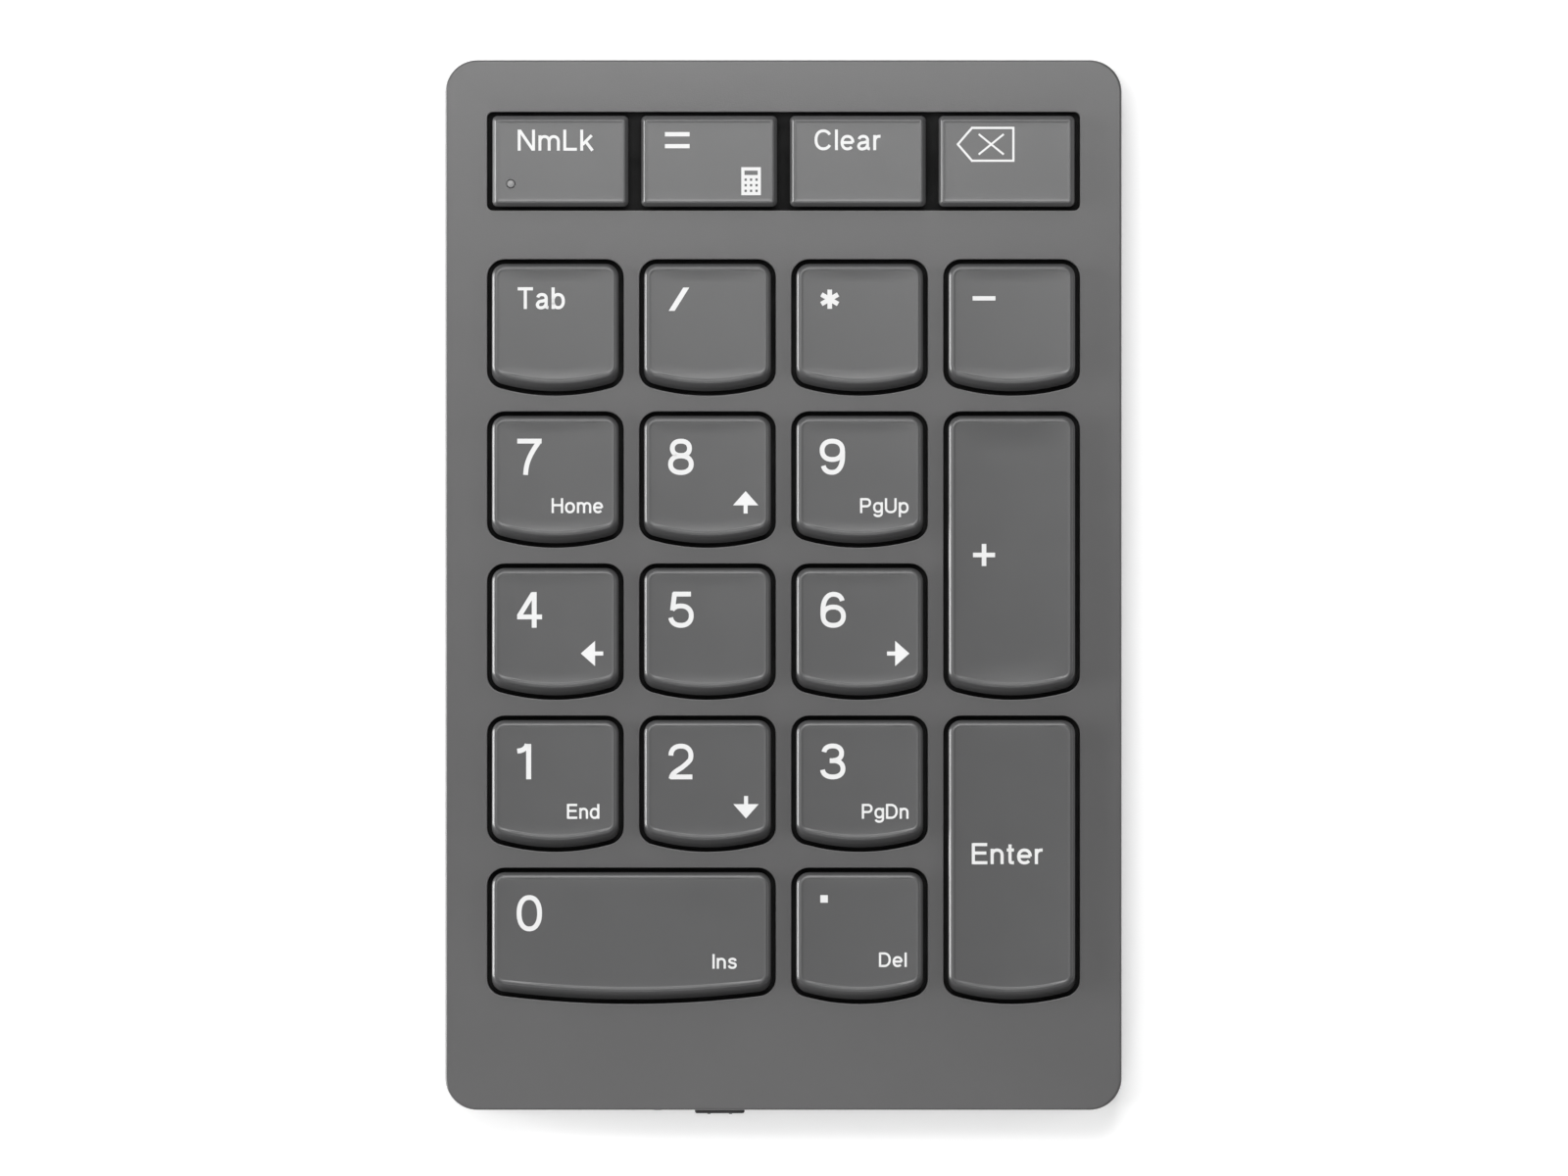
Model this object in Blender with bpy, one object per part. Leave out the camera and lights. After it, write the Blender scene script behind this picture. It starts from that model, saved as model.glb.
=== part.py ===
"""Wireless numeric keypad with low-profile scissor keys, as an assembly of separate pieces.

Run with: blender --background --python part.py

+X is to the right, +Y away from the user, +Z up. The origin is on the desk, under the middle of the case.
The keycaps slide down, each on a lever frame that hinges on the key plate; a slider and a button sit
in the front wall, and a charging socket in the rear wall.
"""

import math
from collections import namedtuple

import bmesh
import bpy
from mathutils import Matrix, Vector

MM = 0.001

# Driving dimensions -------------------------------------------------------------------------------
PITCH = 19.05 * MM  # key spacing, both ways
CASE_WIDTH = 84.7 * MM
CASE_LENGTH = 131.5 * MM
CASE_CORNER = 4.0 * MM
WALL = 1.6 * MM
GAP = 0.3 * MM  # left between pieces that touch on the real object
TRAVEL = 1.8 * MM  # how far a key goes down

# Heights of the stack, from the desk up ------------------------------------------------------------
CASE_BOTTOM = 0.8 * MM
FLOOR_TOP = 2.0 * MM
RIM_TOP = 3.0 * MM  # parting line between the two covers
SUPPORT_TOP = 5.6 * MM  # the ribs that carry the key stack
MEMBRANE = (SUPPORT_TOP + GAP, SUPPORT_TOP + 2 * GAP)
DOME_SHEET = (MEMBRANE[1] + GAP, MEMBRANE[1] + 2 * GAP)
PLATE = (DOME_SHEET[1] + GAP, DOME_SHEET[1] + GAP + 0.5 * MM)
CASE_TOP = 10.2 * MM
TOP_SKIN = 1.5 * MM
SKIRT_BOTTOM = PLATE[1] + GAP + TRAVEL
CAP_HEIGHT = 2.5 * MM
CAP_SKIN = 0.9 * MM
CEILING = SKIRT_BOTTOM + CAP_HEIGHT - CAP_SKIN
CIRCUIT_BOARD = (3.1 * MM, 4.1 * MM)

# Keys ------------------------------------------------------------------------------------------------
PAD_CENTRE_Y = -5.84 * MM  # the 4-5-6 row
WELL = 17.04 * MM  # opening of a one-unit key, both ways
WELL_CORNER = 2.2 * MM
CAP_GAP = 0.55 * MM  # between a cap and its opening
FRONT_RISE = {"single": 1.45 * MM, "tall": 1.45 * MM, "wide": 1.25 * MM}  # curve of the front edge
FRONT_SLOPE = 0.65 * MM  # how far a cap's front leans back
EDGE_CHAMFER = 0.4 * MM
FUNCTION_Y = 53.08 * MM
FUNCTION_PITCH = 18.62 * MM
FUNCTION_CAP = (17.1 * MM, 11.4 * MM)
FUNCTION_OPENING = (74.2 * MM, 12.3 * MM)
FUNCTION_CORNER = 0.7 * MM
CORNER_STEPS = 3
FRONT_STEPS = 4

# Lever frame of a key: from its hinge bar to the bar that lifts the cap ------------------------------
ARM = 9.6 * MM
BAR = (1.0 * MM, 0.9 * MM)  # width, thickness
BAR_CLEARANCE = 0.25 * MM
HINGE_Z = PLATE[1] + GAP + BAR[1] / 2
LIFT_AT_REST = CEILING - BAR_CLEARANCE - BAR[1] / 2 - HINGE_Z
REST_ANGLE = math.asin(LIFT_AT_REST / ARM)
LEVER_SPAN = {"single": 11.4 * MM, "function": 8.4 * MM, "wide": 29.0 * MM, "tall": 29.0 * MM}
HOOK_OFFSET = {"single": 3.4 * MM, "function": 1.2 * MM, "wide": 12.0 * MM, "tall": 12.0 * MM}
HOOK_WIDTH = 1.2 * MM
HOOK_SKIN = 0.3 * MM
HOOK_POST = 0.5 * MM
HOOK_REACH = BAR[0] / 2 + 0.3 * MM  # from a bar's middle to the post outside it
DOME_RADII = (2.8 * MM, 1.5 * MM)
DOME_SKIN = 0.5 * MM
PLATE_HOLE = 3.2 * MM
LENS_RADIUS = 0.5 * MM
LENS_FLANGE = 0.75 * MM
LENS_SPOT = (-6.2 * MM, -2.85 * MM)  # from the middle of the num lock key

# Controls and socket ---------------------------------------------------------------------------------
CONTROL_Z = 6.1 * MM
SLIDER_X = -8.0 * MM
SLIDER_SIZE = (6.25 * MM, 2.0 * MM)  # along X, along Z
SLIDER_TRAVEL = 1.5 * MM  # each way
SLIDER_PROUD = 0.6 * MM
BUTTON_X = -15.8 * MM
BUTTON_RADIUS = 0.8 * MM
BUTTON_PROUD = 0.15 * MM
SOCKET_Z = 6.0 * MM
SOCKET_SIZE = (8.9 * MM, 3.2 * MM)
SOCKET_DEPTH = 5.7 * MM
SOCKET_SKIN = 0.3 * MM

# Fasteners and feet ----------------------------------------------------------------------------------
SCREW_X = 34.0 * MM
SCREW_Y = 61.7 * MM
BOSS_RADIUS = 1.9 * MM
SCREW_HEAD = (1.8 * MM, 0.6 * MM)  # radius, height
SHANK_RADIUS = 0.9 * MM
SHANK_TOP = 7.4 * MM
LEDGE = 1.4 * MM  # extra thickness of the walls above the key plate
FOOT_SIZE = (76.0 * MM, 7.0 * MM)
FOOT_Y = 60.6 * MM
FOOT_THICKNESS = 1.0 * MM
HEAD_TOP = FOOT_THICKNESS + GAP + SCREW_HEAD[1]  # height of the bearing face of the screw heads

Key = namedtuple("Key", "name x y columns rows kind")
Outline = namedtuple("Outline", "half top bottom corner front_radius")


def pad_key(name, column, row, columns=1, rows=1):
    """A key of the main field; column and row count from the top left, and a key may span two."""
    x = (column - 1.5 + (columns - 1) / 2) * PITCH
    y = PAD_CENTRE_Y + (2 - row - (rows - 1) / 2) * PITCH
    kind = {(1, 1): "single", (2, 1): "wide", (1, 2): "tall"}[columns, rows]
    return Key(name, x, y, columns, rows, kind)


def function_key(name, column):
    return Key(name, (column - 1.5) * FUNCTION_PITCH, FUNCTION_Y, 1, 1, "function")


KEYS = (
    [function_key(name, i) for i, name in enumerate(("num_lock", "equals", "clear", "backspace"))]
    + [pad_key(name, i, 0) for i, name in enumerate(("tab", "divide", "multiply", "minus"))]
    + [pad_key(name, i, 1) for i, name in enumerate("789")]
    + [pad_key(name, i, 2) for i, name in enumerate("456")]
    + [pad_key(name, i, 3) for i, name in enumerate("123")]
    + [
        pad_key("0", 0, 4, columns=2),
        pad_key("decimal", 2, 4),
        pad_key("plus", 3, 1, rows=2),
        pad_key("enter", 3, 3, rows=2),
    ]
)


# Scene, materials and small tools ----------------------------------------------------------------------
def clear_scene():
    for obj in list(bpy.data.objects):
        bpy.data.objects.remove(obj)


def new_collection(name):
    collection = bpy.data.collections.new(name)
    bpy.context.scene.collection.children.link(collection)
    return collection


def material(name, colour, roughness, metallic=0.0):
    made = bpy.data.materials.new(name)
    made.use_nodes = True
    shader = made.node_tree.nodes["Principled BSDF"]
    shader.inputs["Base Color"].default_value = (*colour, 1.0)
    shader.inputs["Roughness"].default_value = roughness
    shader.inputs["Metallic"].default_value = metallic
    return made


def new_object(name, mesh, collection, location=(0, 0, 0), finish=None):
    mesh.shade_smooth()
    mesh.set_sharp_from_angle(angle=math.radians(35))
    if finish and not mesh.materials:
        mesh.materials.append(finish)
    obj = bpy.data.objects.new(name, mesh)
    obj.location = location
    collection.objects.link(obj)
    return obj


def mesh_from(bm, name):
    bmesh.ops.recalc_face_normals(bm, faces=bm.faces)
    mesh = bpy.data.meshes.new(name)
    bm.to_mesh(mesh)
    bm.free()
    return mesh


def add_box(bm, low, high):
    low, high = Vector(low), Vector(high)
    shape = Matrix.Translation((low + high) / 2) @ Matrix.Diagonal((*(high - low), 1))
    bmesh.ops.create_cube(bm, size=1, matrix=shape)


def add_cone(bm, centre, low_radius, high_radius, z_range, segments=16):
    x, y = centre
    z0, z1 = z_range
    bmesh.ops.create_cone(
        bm,
        cap_ends=True,
        segments=segments,
        radius1=low_radius,
        radius2=high_radius,
        depth=z1 - z0,
        matrix=Matrix.Translation((x, y, (z0 + z1) / 2)),
    )


def add_rod(bm, x, z, radius, y_range, segments=16):
    """A round rod along Y."""
    y0, y1 = y_range
    along_y = Matrix.Translation((x, (y0 + y1) / 2, z)) @ Matrix.Rotation(math.pi / 2, 4, "X")
    bmesh.ops.create_cone(
        bm, cap_ends=True, segments=segments, radius1=radius, radius2=radius, depth=y1 - y0, matrix=along_y
    )


def slab_mesh(outlines, z_range):
    """A flat plate with the first outline as its edge and the others as its holes.

    The curve is drawn in millimetres, because its fill merges points that are closer than 0.03 units.
    """
    curve = bpy.data.curves.new("slab", "CURVE")
    curve.dimensions = "2D"
    curve.fill_mode = "BOTH"
    curve.extrude = (z_range[1] - z_range[0]) / 2 / MM
    for outline in outlines:
        spline = curve.splines.new("POLY")
        spline.points.add(len(outline) - 1)
        spline.use_cyclic_u = True
        for point, (x, y) in zip(spline.points, outline):
            point.co = (x / MM, y / MM, 0, 1)
    source = bpy.data.objects.new("slab", curve)
    bpy.context.scene.collection.objects.link(source)
    graph = bpy.context.evaluated_depsgraph_get()
    mesh = bpy.data.meshes.new_from_object(source.evaluated_get(graph))
    bpy.data.objects.remove(source)
    bm = bmesh.new()
    bm.from_mesh(mesh)
    bmesh.ops.remove_doubles(bm, verts=bm.verts, dist=0.001)
    bmesh.ops.scale(bm, verts=bm.verts, vec=(MM, MM, MM))
    bmesh.ops.translate(bm, verts=bm.verts, vec=(0, 0, sum(z_range) / 2))
    bmesh.ops.recalc_face_normals(bm, faces=bm.faces)
    bm.to_mesh(mesh)
    bm.free()
    return mesh


def add_loft(bm, rings):
    """A solid through rings of equally many points, such as a cap's base, shoulder and top."""
    loops = [[bm.verts.new(point) for point in ring] for ring in rings]
    count = len(loops[0])
    for low, high in zip(loops, loops[1:]):
        for i in range(count):
            j = (i + 1) % count
            bm.faces.new((low[i], low[j], high[j], high[i]))
    bm.faces.new(loops[0][::-1])
    bm.faces.new(loops[-1])


def combine(obj, mesh, operation, cutters):
    """Cuts the mesh from the object, or joins it on."""
    tool = new_object(f"{obj.name}_{operation.lower()}", mesh, cutters)
    tool.hide_render = True
    tool.display_type = "WIRE"
    modifier = obj.modifiers.new(operation.title(), "BOOLEAN")
    modifier.operation = operation
    modifier.solver = "EXACT"
    modifier.object = tool


def cut(obj, mesh, cutters):
    combine(obj, mesh, "DIFFERENCE", cutters)


def join(obj, mesh, cutters):
    combine(obj, mesh, "UNION", cutters)


def applied_mesh(obj):
    """The object's mesh with its cuts, so that its copies can share it; object and cutters go."""
    graph = bpy.context.evaluated_depsgraph_get()
    mesh = bpy.data.meshes.new_from_object(obj.evaluated_get(graph))
    for modifier in obj.modifiers:
        bpy.data.objects.remove(modifier.object)
    bpy.data.objects.remove(obj)
    return mesh


def cones_mesh(spots, low_radius, high_radius, z_range, segments=16):
    bm = bmesh.new()
    for spot in spots:
        add_cone(bm, spot, low_radius, high_radius, z_range, segments)
    return mesh_from(bm, "cones")


def box_mesh(low, high):
    bm = bmesh.new()
    add_box(bm, low, high)
    return mesh_from(bm, "box")


def rod_mesh(radius, y_range, x=0.0, z=0.0, segments=16):
    """A round rod along Y."""
    bm = bmesh.new()
    add_rod(bm, x, z, radius, y_range, segments)
    return mesh_from(bm, "rod")


# Outlines ------------------------------------------------------------------------------------------------
def arc(centre, radius, start, end, steps):
    cx, cy = centre
    turns = [math.radians(start + (end - start) * i / steps) for i in range(steps + 1)]
    return [(cx + radius * math.cos(t), cy + radius * math.sin(t)) for t in turns]


def rounded_rectangle(width, length, corner, centre=(0, 0), steps=6):
    cx, cy = centre
    x, y = width / 2 - corner, length / 2 - corner
    corners = (((x, y), 0), ((-x, y), 90), ((-x, -y), 180), ((x, -y), 270))
    points = []
    for (px, py), start in corners:
        points += arc((cx + px, cy + py), corner, start, start + 90, steps)
    return points


def key_outline(width, length, corner, rise):
    """A key seen from above; its front edge is an arc that rises towards its ends."""
    half = width / 2
    front_radius = (half**2 + rise**2) / (2 * rise)
    return Outline(half, length / 2, -length / 2, corner, front_radius)


def inset(outline, distance, front_lift=0.0):
    half, top, bottom, corner, front_radius = outline
    new_bottom = bottom + distance + front_lift
    return Outline(half - distance, top - distance, new_bottom, corner - distance, front_radius - distance)


def outline_points(outline, centre=(0, 0)):
    """Points anticlockwise; the front corners meet the front arc and the sides smoothly."""
    half, top, bottom, corner, radius = outline
    cx, cy = centre
    across = half - corner
    arc_centre_y = bottom + radius
    corner_y = arc_centre_y - math.sqrt((radius - corner) ** 2 - across**2)
    lean = math.degrees(math.atan2(across, arc_centre_y - corner_y))
    points = arc((across, top - corner), corner, 0, 90, CORNER_STEPS)
    points += arc((-across, top - corner), corner, 90, 180, CORNER_STEPS)
    points += arc((-across, corner_y), corner, 180, 270 - lean, CORNER_STEPS)
    points += arc((0, arc_centre_y), radius, 270 - lean, 270 + lean, FRONT_STEPS)[1:-1]
    points += arc((across, corner_y), corner, 270 + lean, 360, CORNER_STEPS)
    return [(cx + x, cy + y) for x, y in points]


def well_outline(key):
    width = WELL + (key.columns - 1) * PITCH
    length = WELL + (key.rows - 1) * PITCH
    return key_outline(width, length, WELL_CORNER, FRONT_RISE[key.kind])


def case_outline(inward=0.0):
    corner = max(CASE_CORNER - inward, 1 * MM)
    return rounded_rectangle(CASE_WIDTH - 2 * inward, CASE_LENGTH - 2 * inward, corner)


# Keycaps ---------------------------------------------------------------------------------------------------
def at_height(points, z):
    return [(x, y, z) for x, y in points]


def function_cap_outline(inward, corner, steps=CORNER_STEPS):
    width, length = (side - 2 * inward for side in FUNCTION_CAP)
    return rounded_rectangle(width, length, corner, steps=steps)


def cap_outlines(kind):
    """Base, shoulder and top of a cap, and the outline of its hollow, about the key's centre."""
    if kind == "function":
        base = function_cap_outline(0, FUNCTION_CORNER)
        shoulder = function_cap_outline(0.1 * MM, FUNCTION_CORNER)
        top = function_cap_outline(0.1 * MM + EDGE_CHAMFER, 0.4 * MM)
        return base, shoulder, top, function_cap_outline(CAP_SKIN, 0.5 * MM, steps=1)
    key = next(key for key in KEYS if key.kind == kind)
    outline = inset(well_outline(key), CAP_GAP)
    base = outline_points(outline)
    shoulder = outline_points(inset(outline, 0.1 * MM, FRONT_SLOPE))
    top = outline_points(inset(outline, 0.1 * MM + EDGE_CHAMFER, FRONT_SLOPE))
    return base, shoulder, top, outline_points(inset(outline, CAP_SKIN, FRONT_SLOPE))


def arm_axes(kind):
    """Unit vectors along a lever's arm, from its hinge to its lifting bar, and across the arm."""
    if kind in ("tall", "function"):
        return Vector((1, 0, 0)), Vector((0, 1, 0))
    return Vector((0, -1, 0)), Vector((1, 0, 0))


def hook_profile(z_root, z_tip):
    """An L that stands outside a bar and reaches over or under it; distance from the bar, and height."""
    inner = z_tip + math.copysign(HOOK_SKIN, z_root - z_tip)
    lip, outside = -BAR[0] / 2, HOOK_REACH + HOOK_POST
    return (
        (HOOK_REACH, z_root),
        (outside, z_root),
        (outside, z_tip),
        (lip, z_tip),
        (lip, inner),
        (HOOK_REACH, inner),
    )


def add_hooks(bm, centre, kind, along, z_root, z_tip):
    """Two hooks for the bar that lies this far along the arm from the key's centre."""
    forward, across = arm_axes(kind)
    outward = forward * math.copysign(1, along)
    for side in (-1, 1):
        middle = Vector((*centre, 0)) + forward * along + across * side * HOOK_OFFSET[kind]
        rings = [
            [middle + across * end + outward * u + Vector((0, 0, z)) for u, z in hook_profile(z_root, z_tip)]
            for end in (-HOOK_WIDTH / 2, HOOK_WIDTH / 2)
        ]
        add_loft(bm, rings)


def cap_mesh(kind, cutters, lens_hole=None):
    """A hollow cap with its base at height 0, and two hooks under its ceiling."""
    base, shoulder, top, hollow = cap_outlines(kind)
    bm = bmesh.new()
    shoulder_z = CAP_HEIGHT - EDGE_CHAMFER
    add_loft(bm, [at_height(base, 0), at_height(shoulder, shoulder_z), at_height(top, CAP_HEIGHT)])
    cap = new_object("cap", mesh_from(bm, "cap"), cutters)
    ceiling = CAP_HEIGHT - CAP_SKIN
    cut(cap, slab_mesh([hollow], (-1 * MM, ceiling)), cutters)
    bm = bmesh.new()
    tip = ceiling - 2 * BAR_CLEARANCE - BAR[1] - HOOK_SKIN
    add_hooks(bm, (0, 0), kind, ARM / 2 - 0.05 * MM, ceiling + 0.2 * MM, tip)
    join(cap, mesh_from(bm, "hooks"), cutters)
    if lens_hole:
        radius = LENS_RADIUS + 0.1 * MM
        cut(cap, cones_mesh([lens_hole], radius, radius, (0, 2 * CAP_HEIGHT), 12), cutters)
    return applied_mesh(cap)


def make_keycaps(parts, cutters, plastic):
    meshes = {kind: cap_mesh(kind, cutters) for kind in ("single", "wide", "tall", "function")}
    with_lens = cap_mesh("function", cutters, LENS_SPOT)
    for key in KEYS:
        mesh = with_lens if key.name == "num_lock" else meshes[key.kind]
        new_object(f"keycap_{key.name}", mesh, parts, (key.x, key.y, SKIRT_BOTTOM), plastic)


def make_num_lock_lens(parts, cutters, clear_plastic):
    """Light pipe of the num lock lamp, with a flange under the cap's skin."""
    key = next(key for key in KEYS if key.name == "num_lock")
    spot = (key.x + LENS_SPOT[0], key.y + LENS_SPOT[1], CEILING - 0.6 * MM)
    flange = cones_mesh([(0, 0)], LENS_FLANGE, LENS_FLANGE, (0, 0.4 * MM), 12)
    lens = new_object("num_lock_lens", flange, parts, spot, clear_plastic)
    pipe = cones_mesh([(0, 0)], LENS_RADIUS, LENS_RADIUS, (0.2 * MM, 0.6 * MM + CAP_SKIN), 12)
    pipe.transform(Matrix.Translation(spot))
    join(lens, pipe, cutters)


# Lever frames -------------------------------------------------------------------------------------------
def lever_mesh(kind):
    """A flat rectangular frame, tilted about its hinge bar to its rest angle."""
    width, thickness = BAR
    span = LEVER_SPAN[kind]
    outer = rounded_rectangle(ARM + width, span, 0.3 * MM, (ARM / 2, 0), steps=1)
    inner = rounded_rectangle(ARM - width, span - 2 * width, 0.3 * MM, (ARM / 2, 0), steps=1)
    mesh = slab_mesh([outer, inner], (-thickness / 2, thickness / 2))
    forward, _ = arm_axes(kind)
    heading = Matrix.Rotation(math.atan2(forward.y, forward.x), 4, "Z")
    mesh.transform(heading @ Matrix.Rotation(-REST_ANGLE, 4, "Y"))
    return mesh


def make_levers(parts, plastic):
    meshes = {kind: lever_mesh(kind) for kind in LEVER_SPAN}
    for key in KEYS:
        forward, _ = arm_axes(key.kind)
        hinge = Vector((key.x, key.y, HINGE_Z)) - forward * ARM / 2
        new_object(f"scissor_lever_{key.name}", meshes[key.kind], parts, hinge, plastic)


# Key stack -----------------------------------------------------------------------------------------------
STACK_LOW = (-40.0 * MM, -53.0 * MM)
STACK_HIGH = (40.0 * MM, 59.4 * MM)


def stack_sheet(name, z_range, parts, finish):
    mesh = box_mesh((*STACK_LOW, z_range[0]), (*STACK_HIGH, z_range[1]))
    return new_object(name, mesh, parts, finish=finish)


def key_centres():
    return [(key.x, key.y) for key in KEYS]


def make_key_plate(parts, cutters, steel):
    """Steel plate with a hole for each dome and two hooks for each lever's hinge bar."""
    plate = stack_sheet("key_plate", PLATE, parts, steel)
    holes = cones_mesh(key_centres(), PLATE_HOLE, PLATE_HOLE, (PLATE[0] - MM, PLATE[1] + MM), 12)
    cut(plate, holes, cutters)
    bm = bmesh.new()
    tip = HINGE_Z + BAR[1] / 2 + BAR_CLEARANCE + HOOK_SKIN
    for key in KEYS:
        add_hooks(bm, (key.x, key.y), key.kind, -ARM / 2, PLATE[1] - 0.2 * MM, tip)
    join(plate, mesh_from(bm, "hooks"), cutters)


def make_dome_sheet(parts, cutters, silicone):
    """Silicone sheet with a hollow dome under each cap, open below."""
    sheet = stack_sheet("dome_sheet", DOME_SHEET, parts, silicone)
    z_top = CEILING - GAP
    low, high = DOME_RADII
    join(sheet, cones_mesh(key_centres(), low, high, (DOME_SHEET[0] + 0.1 * MM, z_top), 10), cutters)
    hollow_z = (DOME_SHEET[0] - 0.2 * MM, z_top - 0.9 * MM)
    cut(sheet, cones_mesh(key_centres(), low - DOME_SKIN, high - DOME_SKIN, hollow_z, 10), cutters)


def make_membrane(parts, cutters, film):
    """Contact membrane, with a tail that turns down to the circuit board."""
    membrane = stack_sheet("contact_membrane", MEMBRANE, parts, film)
    front = STACK_LOW[1]
    low = (-30 * MM, front, CIRCUIT_BOARD[1] + 0.4 * MM)
    join(membrane, box_mesh(low, (-22 * MM, front + 0.3 * MM, MEMBRANE[1] - 0.1 * MM)), cutters)


# Case -----------------------------------------------------------------------------------------------------
def screw_spots():
    return [(x, y) for y in (-SCREW_Y, SCREW_Y) for x in (-SCREW_X, SCREW_X)]


def socket_prism(grow, y_range):
    """The socket's rounded section, grown by a margin, as a prism along Y."""
    width, height = (side + 2 * grow for side in SOCKET_SIZE)
    outline = rounded_rectangle(width, height, height / 2 - 0.05 * MM, (0, SOCKET_Z), steps=5)
    mesh = slab_mesh([outline], (-y_range[1], -y_range[0]))
    mesh.transform(Matrix.Rotation(math.pi / 2, 4, "X"))
    return mesh


def soften_top_edge(mesh):
    """Rounds the outer edge of the case's top face."""
    bm = bmesh.new()
    bm.from_mesh(mesh)
    inner_x, inner_y = CASE_WIDTH / 2 - CASE_CORNER, CASE_LENGTH / 2 - CASE_CORNER
    outer = [v for v in bm.verts if v.co.z > CASE_TOP - 0.01 * MM]
    outer = {v for v in outer if abs(v.co.x) > inner_x or abs(v.co.y) > inner_y}
    edges = [e for e in bm.edges if outer.issuperset(e.verts) and e.calc_face_angle() > 1]
    bmesh.ops.bevel(bm, geom=edges, offset=0.3 * MM, segments=2, profile=0.5, affect="EDGES")
    bm.to_mesh(mesh)
    bm.free()


def key_openings_mesh():
    """An opening for each key of the main field, and one for the whole function row."""
    openings = [
        outline_points(well_outline(key), (key.x, key.y)) for key in KEYS if key.kind != "function"
    ]
    openings.append(
        rounded_rectangle(*FUNCTION_OPENING, FUNCTION_CORNER, (0, FUNCTION_Y), steps=CORNER_STEPS)
    )
    bm = bmesh.new()
    for opening in openings:
        bm.from_mesh(slab_mesh([opening], (CASE_TOP - TOP_SKIN - MM, CASE_TOP + MM)))
    return mesh_from(bm, "key_openings")


def make_top_cover(parts, cutters, plastic):
    """Upper shell: a skin with the key openings, side walls, screw bosses, and holes for the controls."""
    shell = slab_mesh([case_outline()], (RIM_TOP + GAP, CASE_TOP))
    soften_top_edge(shell)
    cover = new_object("top_cover", shell, parts, finish=plastic)
    # The walls are thicker above the key plate, as a ledge that holds its edges down.
    cut(cover, slab_mesh([case_outline(WALL)], (RIM_TOP - MM, PLATE[1] + GAP)), cutters)
    cut(cover, slab_mesh([case_outline(WALL + LEDGE)], (RIM_TOP, CASE_TOP - TOP_SKIN)), cutters)
    cut(cover, key_openings_mesh(), cutters)
    boss_z = (RIM_TOP + 2 * GAP, CASE_TOP - TOP_SKIN / 2)
    join(cover, cones_mesh(screw_spots(), BOSS_RADIUS, BOSS_RADIUS, boss_z), cutters)
    hole = SHANK_RADIUS + 0.1 * MM
    cut(cover, cones_mesh(screw_spots(), hole, hole, (RIM_TOP, SHANK_TOP + GAP)), cutters)
    front = -CASE_LENGTH / 2
    half_x = SLIDER_SIZE[0] / 2 + SLIDER_TRAVEL + 0.25 * MM
    half_z = SLIDER_SIZE[1] / 2 + 0.25 * MM
    low = (SLIDER_X - half_x, front - MM, CONTROL_Z - half_z)
    cut(cover, box_mesh(low, (SLIDER_X + half_x, front + WALL + MM, CONTROL_Z + half_z)), cutters)
    button_hole = BUTTON_RADIUS + 0.15 * MM
    cut(cover, rod_mesh(button_hole, (front - MM, front + WALL + MM), BUTTON_X, CONTROL_Z), cutters)
    cut(cover, socket_prism(0.2 * MM, (-front - WALL - MM, MM - front)), cutters)


def make_bottom_cover(parts, cutters, plastic):
    """Lower shell: a tray with a locating lip, a support rib, posts and recesses for the feet."""
    tray = slab_mesh([case_outline()], (CASE_BOTTOM, RIM_TOP))
    cover = new_object("bottom_cover", tray, parts, finish=plastic)
    join(cover, slab_mesh([case_outline(WALL + GAP)], (CASE_BOTTOM + GAP, SUPPORT_TOP)), cutters)
    cut(cover, slab_mesh([case_outline(WALL + GAP + MM)], (FLOOR_TOP, SUPPORT_TOP + MM)), cutters)
    # The lip is low at both ends, where the controls and the socket come through.
    for side in (-1, 1):
        ends = sorted((side * (CASE_LENGTH / 2 - 6 * MM), side * CASE_LENGTH))
        low = (-CASE_WIDTH, ends[0], RIM_TOP + MM)
        cut(cover, box_mesh(low, (CASE_WIDTH, ends[1], SUPPORT_TOP + MM)), cutters)
    around = BOSS_RADIUS + 0.6 * MM
    cut(cover, cones_mesh(screw_spots(), around, around, (FLOOR_TOP, SUPPORT_TOP + MM)), cutters)
    post = SCREW_HEAD[0] + 0.55 * MM
    join(cover, cones_mesh(screw_spots(), post, post, (CASE_BOTTOM + GAP, RIM_TOP + GAP)), cutters)
    low = (6.0 * MM, -50 * MM, FLOOR_TOP - 0.3 * MM)
    join(cover, box_mesh(low, (7.2 * MM, 56 * MM, SUPPORT_TOP)), cutters)
    board_posts = [(x * MM, y * MM) for x in (-34, 0) for y in (-46, 46)]
    post_z = (FLOOR_TOP - 0.3 * MM, CIRCUIT_BOARD[0] - GAP)
    join(cover, cones_mesh(board_posts, 1.4 * MM, 1.2 * MM, post_z, 12), cutters)
    head, shank = SCREW_HEAD[0] + 0.2 * MM, SHANK_RADIUS + 0.2 * MM
    cut(cover, cones_mesh(screw_spots(), head, head, (0, HEAD_TOP + GAP)), cutters)
    cut(cover, cones_mesh(screw_spots(), shank, shank, (HEAD_TOP, RIM_TOP + MM)), cutters)
    for side in (-1, 1):
        cut(cover, foot_mesh(GAP / 2, FOOT_THICKNESS + GAP, (0, side * FOOT_Y)), cutters)


def foot_mesh(grow, thickness, centre=(0, 0)):
    width, length = (size + 2 * grow for size in FOOT_SIZE)
    return slab_mesh([rounded_rectangle(width, length, length / 2 - 0.1 * MM, centre)], (0, thickness))


def make_feet(parts, rubber):
    for name, side in (("foot_front", -1), ("foot_rear", 1)):
        new_object(name, foot_mesh(0, FOOT_THICKNESS), parts, (0, side * FOOT_Y, 0), rubber)


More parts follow.
